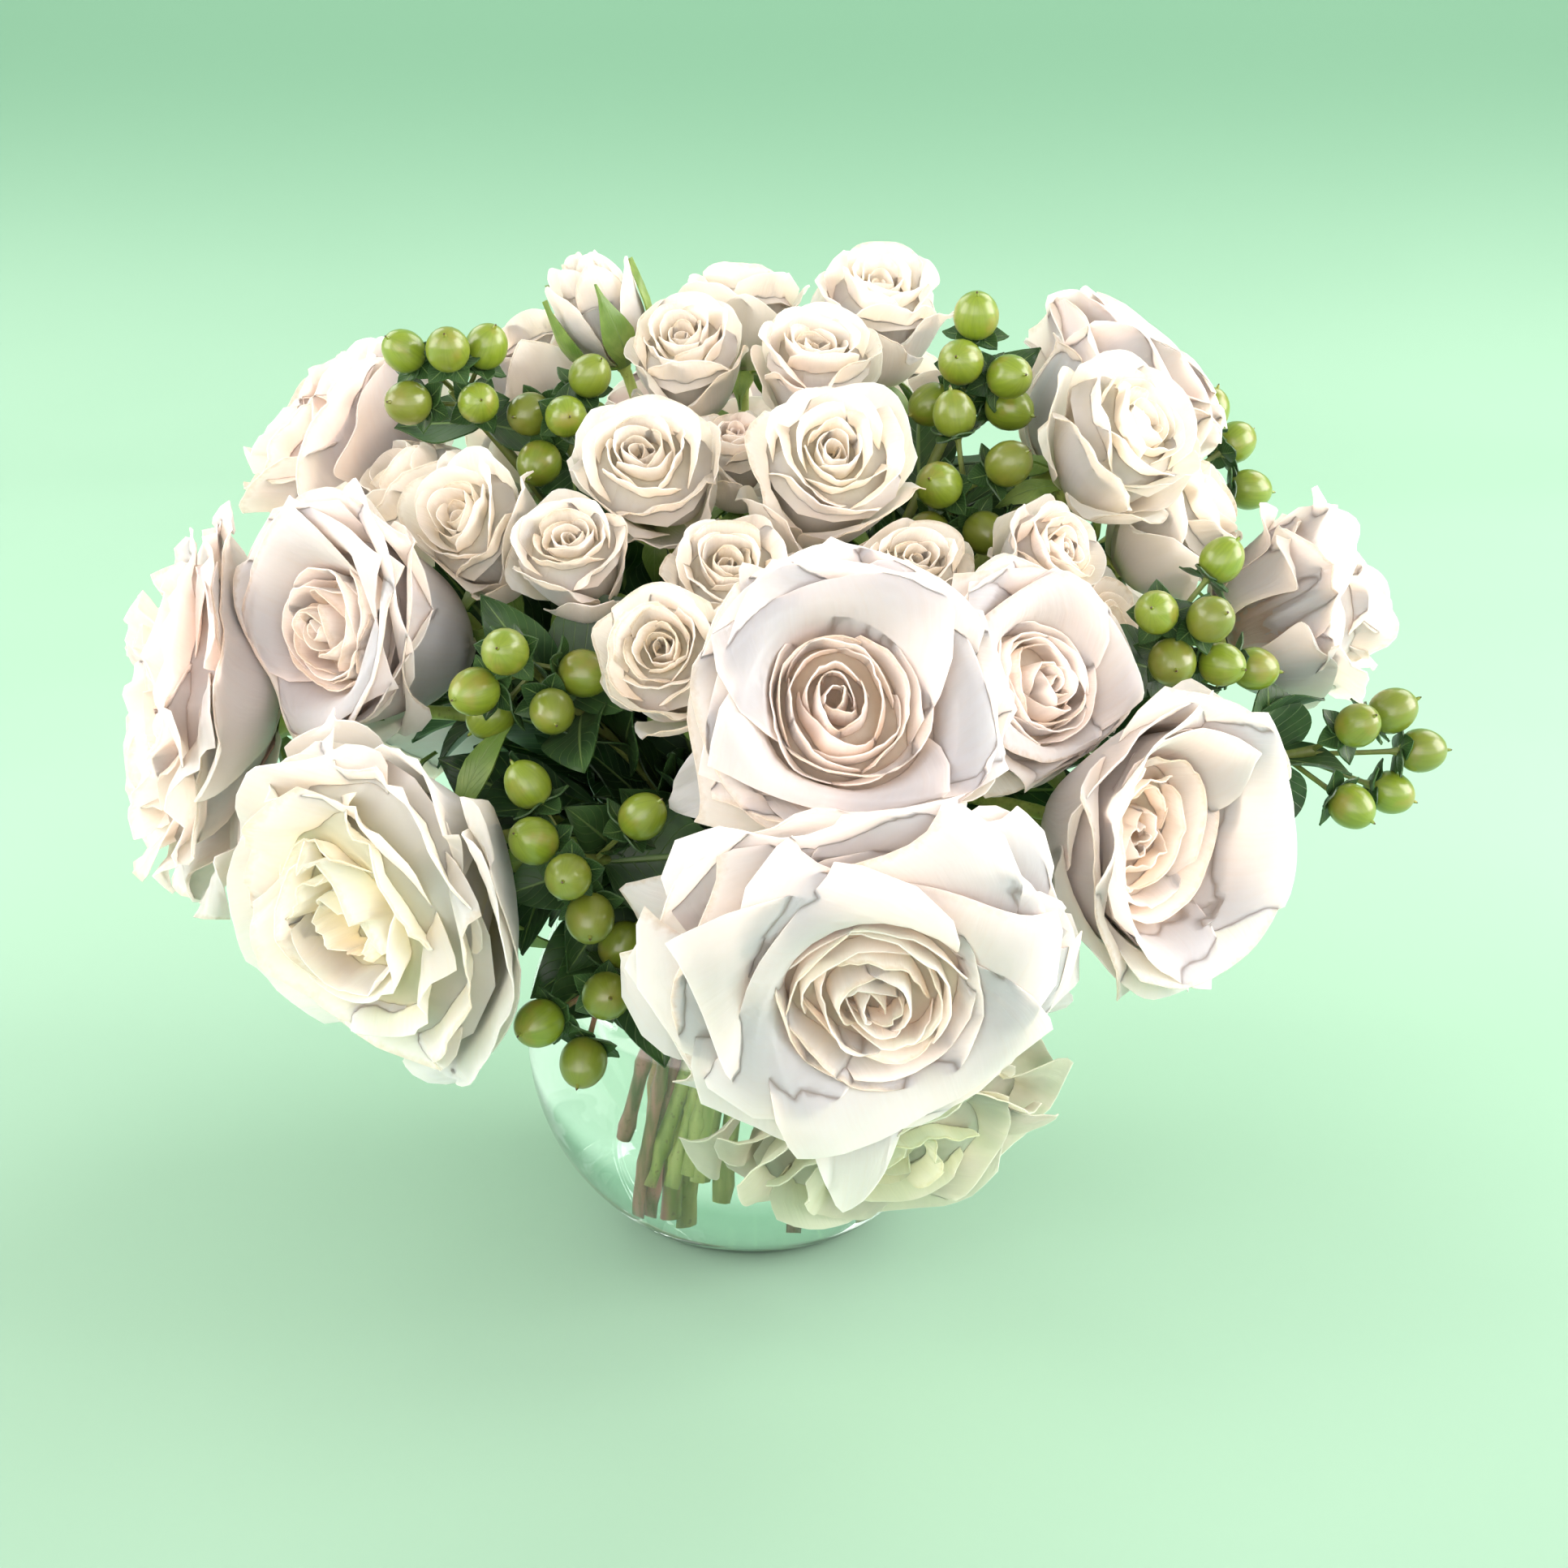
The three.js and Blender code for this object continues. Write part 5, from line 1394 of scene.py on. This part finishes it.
def make_hypericum(finishes):
    """Every hypericum stem: its berries with their sepals, its stalks and its leaves."""
    leaf_sheet, sepal_sheet, berry = blank(14, 10), blank(6, 4), berry_pattern()
    for (name, _, _, side, berries, leaves), head in zip(HYPERICUM, clusters):
        draw = draws_of(name)
        line = stem_line(next(strand for strand in strands if strand["node"] == name))
        fork = head.middle
        down = unit(line[-2] - fork)
        tubes = [tube(line, knotted([BERRY_STEM_RADIUS] * len(line), draw))]
        copies, notes, sepals = [], [], []
        places = berry_places(head, side, berries)
        for i, place in enumerate(places):
            start = fork + down * (1 + STALK_STEP * i)
            way = unit(place - start)
            turn = np.array(Vector((0, 0, 1)).rotation_difference(Vector(way)).to_matrix())
            size = draw.uniform(0.94, 1.05)
            copies.append(berry["shape"] * size @ turn.T + place)
            notes.append((0, draw.uniform(), 0))
            foot = place - way * (BERRY_LONG / 2 * size - 0.4)
            bend = start + (foot - start) * 0.5 + draw.normal(size=3) * 0.8
            bow = [start, start + (bend - start) * 0.7, foot - way * 3, foot]
            tubes.append(tube(bezier(bow, np.linspace(0, 1, len(STALK_RADII))), STALK_RADII, 8))
            for k in range(SEPALS):
                out = turned(np.array([1.0, 0, 0]), SEPAL_TURN * k + draw.uniform(0, 0.4))
                out = out * draw.uniform(8.5, 10.5) + np.array([0, 0, draw.uniform(-3, 3)])
                sepals.append(leaf_points(sepal_sheet, foot, foot + turn @ out, BERRY_SEPAL_WIDE,
                                          way, 0.3, -0.3, draw))
        fruit = copied(name + "_fruit", berry, copies, notes)
        smoothed(fruit, 50)
        placed(fruit, finishes["berry_skin"], "hypericum", name)
        place_stalks(name, tubes, finishes["hypericum_stem"], "hypericum")
        leaf = finishes["hypericum_leaf"]
        place_leaves(name, "sepals", sepal_sheet, sepals, LEAF_THICK, leaf, "hypericum")
        out = unit((fork - HUB) / 100 + np.array([0, 1.4 * side, 0.5]))
        start = fork + down * LEAF_DROP
        blades = [leaf_points(leaf_sheet, start, start + np.array(tip, float), wide * 1.25, out, 0.25,
                              0.12, draw) for tip, wide in leaves]
        blades += filler_leaves(leaf_sheet, line, HYPERICUM_LEAF, places, draw)
        place_leaves(name, "leaves", leaf_sheet, blades, LEAF_THICK, leaf, "hypericum")


# ---------------------------------------------------------------- bowl and water


def arc(radius, low, high):
    """Points on a sphere about the bowl's middle, between two heights, as (radius, height)."""
    start, end = (math.asin((z - CENTRE_HEIGHT) / radius) for z in (low, high))
    return [(radius * math.cos(a), CENTRE_HEIGHT + radius * math.sin(a))
            for a in np.linspace(start, end, WALL_STEPS + 1)]


def make_bowl():
    """The hollow glass: up its outside from the foot, over the lip and down inside to its floor."""
    outside = arc(BOWL_RADIUS, 1.2, NECK_HEIGHT - 3)
    inside = arc(BOWL_RADIUS - GLASS, GLASS_BASE + 2.5, NECK_HEIGHT - 3)[::-1]
    half = GLASS / 2
    lip_middle, lip_height = NECK_RADIUS + LIP_OUT - half, NECK_HEIGHT + LIP_RISE - half
    lip = [(lip_middle + half * math.cos(a), lip_height + half * math.sin(a))
           for a in np.linspace(-0.2, math.pi + 0.2, 11)]
    foot = [(FOOT_RADIUS - 6, 0), (FOOT_RADIUS - 2, 0.05), (FOOT_RADIUS - 0.2, 0.4)]
    neck_out = [(NECK_RADIUS + 0.5, NECK_HEIGHT - 0.6), (NECK_RADIUS + 1.2, NECK_HEIGHT + 0.9)]
    neck_in = [(NECK_RADIUS + 1.2 - GLASS, NECK_HEIGHT + 0.6),
               (NECK_RADIUS + 0.3 - GLASS, NECK_HEIGHT - 1.2)]
    low = inside[-1][0]
    floor = [(low - 3, GLASS_BASE + 0.7), (low - 8, GLASS_BASE + 0.05)]
    bowl = thrown("bowl_glass", [*foot, *outside, *neck_out, *lip, *neck_in, *inside, *floor])
    smoothed(bowl)
    glass = clear_finish("clear_glass", (0.97, 0.995, 0.985, 1), 1.45, 22.0, 0.12, 0.6)
    placed(bowl, glass, "glass", "bowl")


def make_water():
    """The water, which reaches a little into the glass and creeps up it at its edge."""
    low = GLASS_BASE - 0.1
    wall = arc(BOWL_RADIUS - GLASS + 0.12, GLASS_BASE + 2.4, WATER_TOP + 1.6)
    first, last = wall[0][0], wall[-1][0]
    start = [(first - 8, low), (first - 3, low + 0.6)]
    skin = [(last - 0.5, WATER_TOP + 0.7), (last - 1.4, WATER_TOP + 0.15), (last - 3, WATER_TOP)]
    water = thrown("bowl_water", [*start, *wall, *skin])
    smoothed(water)
    still = clear_finish("still_water", (0.965, 0.995, 0.985, 1), 1.333, 30.0, 0.05, 0.4)
    placed(water, still, "water", "water")


# ---------------------------------------------------------------- studio

# The studio's places and sizes are in metres.
STUDIO_WIDE = 9.0
STUDIO_BACK = 1.7  # half of the floor's depth
STUDIO_AHEAD = 2.2
STUDIO_BEND = 1.2  # how high the backdrop's round foot is
STUDIO_HIGH = 4.0
# The air is brightest level with the table, so light also comes in under the flowers.
AIR = (1.0, 0.925, 0.93, 1)
AIR_LEVEL = 2.7
AIR_ABOVE = 0.1
LENS = 61.86
SENSOR = 36
CAMERA_PLACE = (0.010, -0.7820, 0.3866)
CAMERA_DOWN = 17.5
LIT_POINT = Vector((0, 0, 0.15))
# Soft lights: place, size across, power in watts, and tint.
LIGHTS = {
    "window_left": ((-1.8, -0.3, 0.9), 1.4, 24, (1, 0.94, 0.93)),
    "window_right": ((1.8, -0.2, 0.9), 1.4, 42, (1, 0.94, 0.93)),
    "window_back_left": ((-1.1, 1.2, 1.4), 1.2, 12, (1, 0.95, 0.95)),
    "window_back_right": ((1.2, 1.1, 1.5), 1.2, 17, (1, 0.95, 0.95)),
    "ceiling": ((0.0, -0.1, 1.9), 1.6, 2, (1, 0.96, 0.96)),
    "front": ((-0.6, -2.5, 0.8), 2.0, 20, (1, 0.94, 0.93)),
}


def make_floor():
    """A plain floor that runs up into a backdrop."""
    only()
    bpy.ops.mesh.primitive_plane_add(size=1)
    floor = bpy.context.object
    floor.name = "studio_floor"
    start_shaping()
    bpy.ops.transform.resize(value=(STUDIO_WIDE, 2 * STUDIO_BACK, 1))
    bpy.ops.transform.translate(value=(0, STUDIO_BACK - STUDIO_AHEAD, 0))
    bpy.ops.mesh.select_all(action="DESELECT")
    bpy.ops.object.mode_set(mode="OBJECT")
    back = max(vertex.co.y for vertex in floor.data.vertices)
    for vertex in floor.data.vertices:
        vertex.select = vertex.co.y > back - 0.01
    bpy.ops.object.mode_set(mode="EDIT")
    bpy.ops.mesh.spin(steps=24, angle=-math.pi / 2, center=(0, back, STUDIO_BEND), axis=(1, 0, 0))
    bpy.ops.mesh.extrude_edges_move(TRANSFORM_OT_translate={"value": (0, 0, STUDIO_HIGH)})
    bpy.ops.mesh.select_all(action="SELECT")
    bpy.ops.mesh.remove_doubles(threshold=0.001)
    end_shaping(inside=True)
    bpy.ops.object.shade_smooth()
    floor.data.materials.append(floor_finish())


def make_light():
    """The air, which is dimmer above, and the soft lights."""
    world = bpy.data.worlds.new("studio_air")
    bpy.context.scene.world = world
    world.use_nodes = True
    nodes, links = world.node_tree.nodes, world.node_tree.links
    nodes["Background"].inputs["Color"].default_value = AIR
    height = nodes.new("ShaderNodeSeparateXYZ")
    fall = nodes.new("ShaderNodeMapRange")
    fall.inputs["To Min"].default_value = AIR_LEVEL
    fall.inputs["To Max"].default_value = AIR_ABOVE
    links.new(nodes.new("ShaderNodeTexCoord").outputs["Generated"], height.inputs[0])
    links.new(height.outputs[2], fall.inputs["Value"])
    links.new(fall.outputs[0], nodes["Background"].inputs["Strength"])
    for name, (place, size, power, tint) in LIGHTS.items():
        light = added(name, bpy.data.lights.new(name, "AREA"))
        light.data.size = size
        light.data.energy = power
        light.data.color = tint
        light.location = place
        light.rotation_euler = (LIT_POINT - light.location).to_track_quat("-Z", "Y").to_euler()
        light.visible_camera = False


def make_camera():
    camera = added("camera", bpy.data.cameras.new("camera"))
    camera.data.lens = LENS
    camera.data.sensor_width = SENSOR
    camera.location = CAMERA_PLACE
    camera.rotation_euler = (math.radians(90 - CAMERA_DOWN), 0, 0)
    bpy.context.scene.camera = camera
    bpy.context.scene.view_settings.view_transform = "Standard"


make_floor()
make_light()
make_camera()
finishes = {"berry_skin": berry_finish()}
for tones, finish in ((PETAL_TONES, petal_finish), (STEM_TONES, stem_finish), (LEAF_TONES, leaf_finish)):
    finishes |= {name: finish(name) for name in tones}
make_blooms(finishes)
make_stems(finishes)
make_hypericum(finishes)
make_bowl()
make_water()
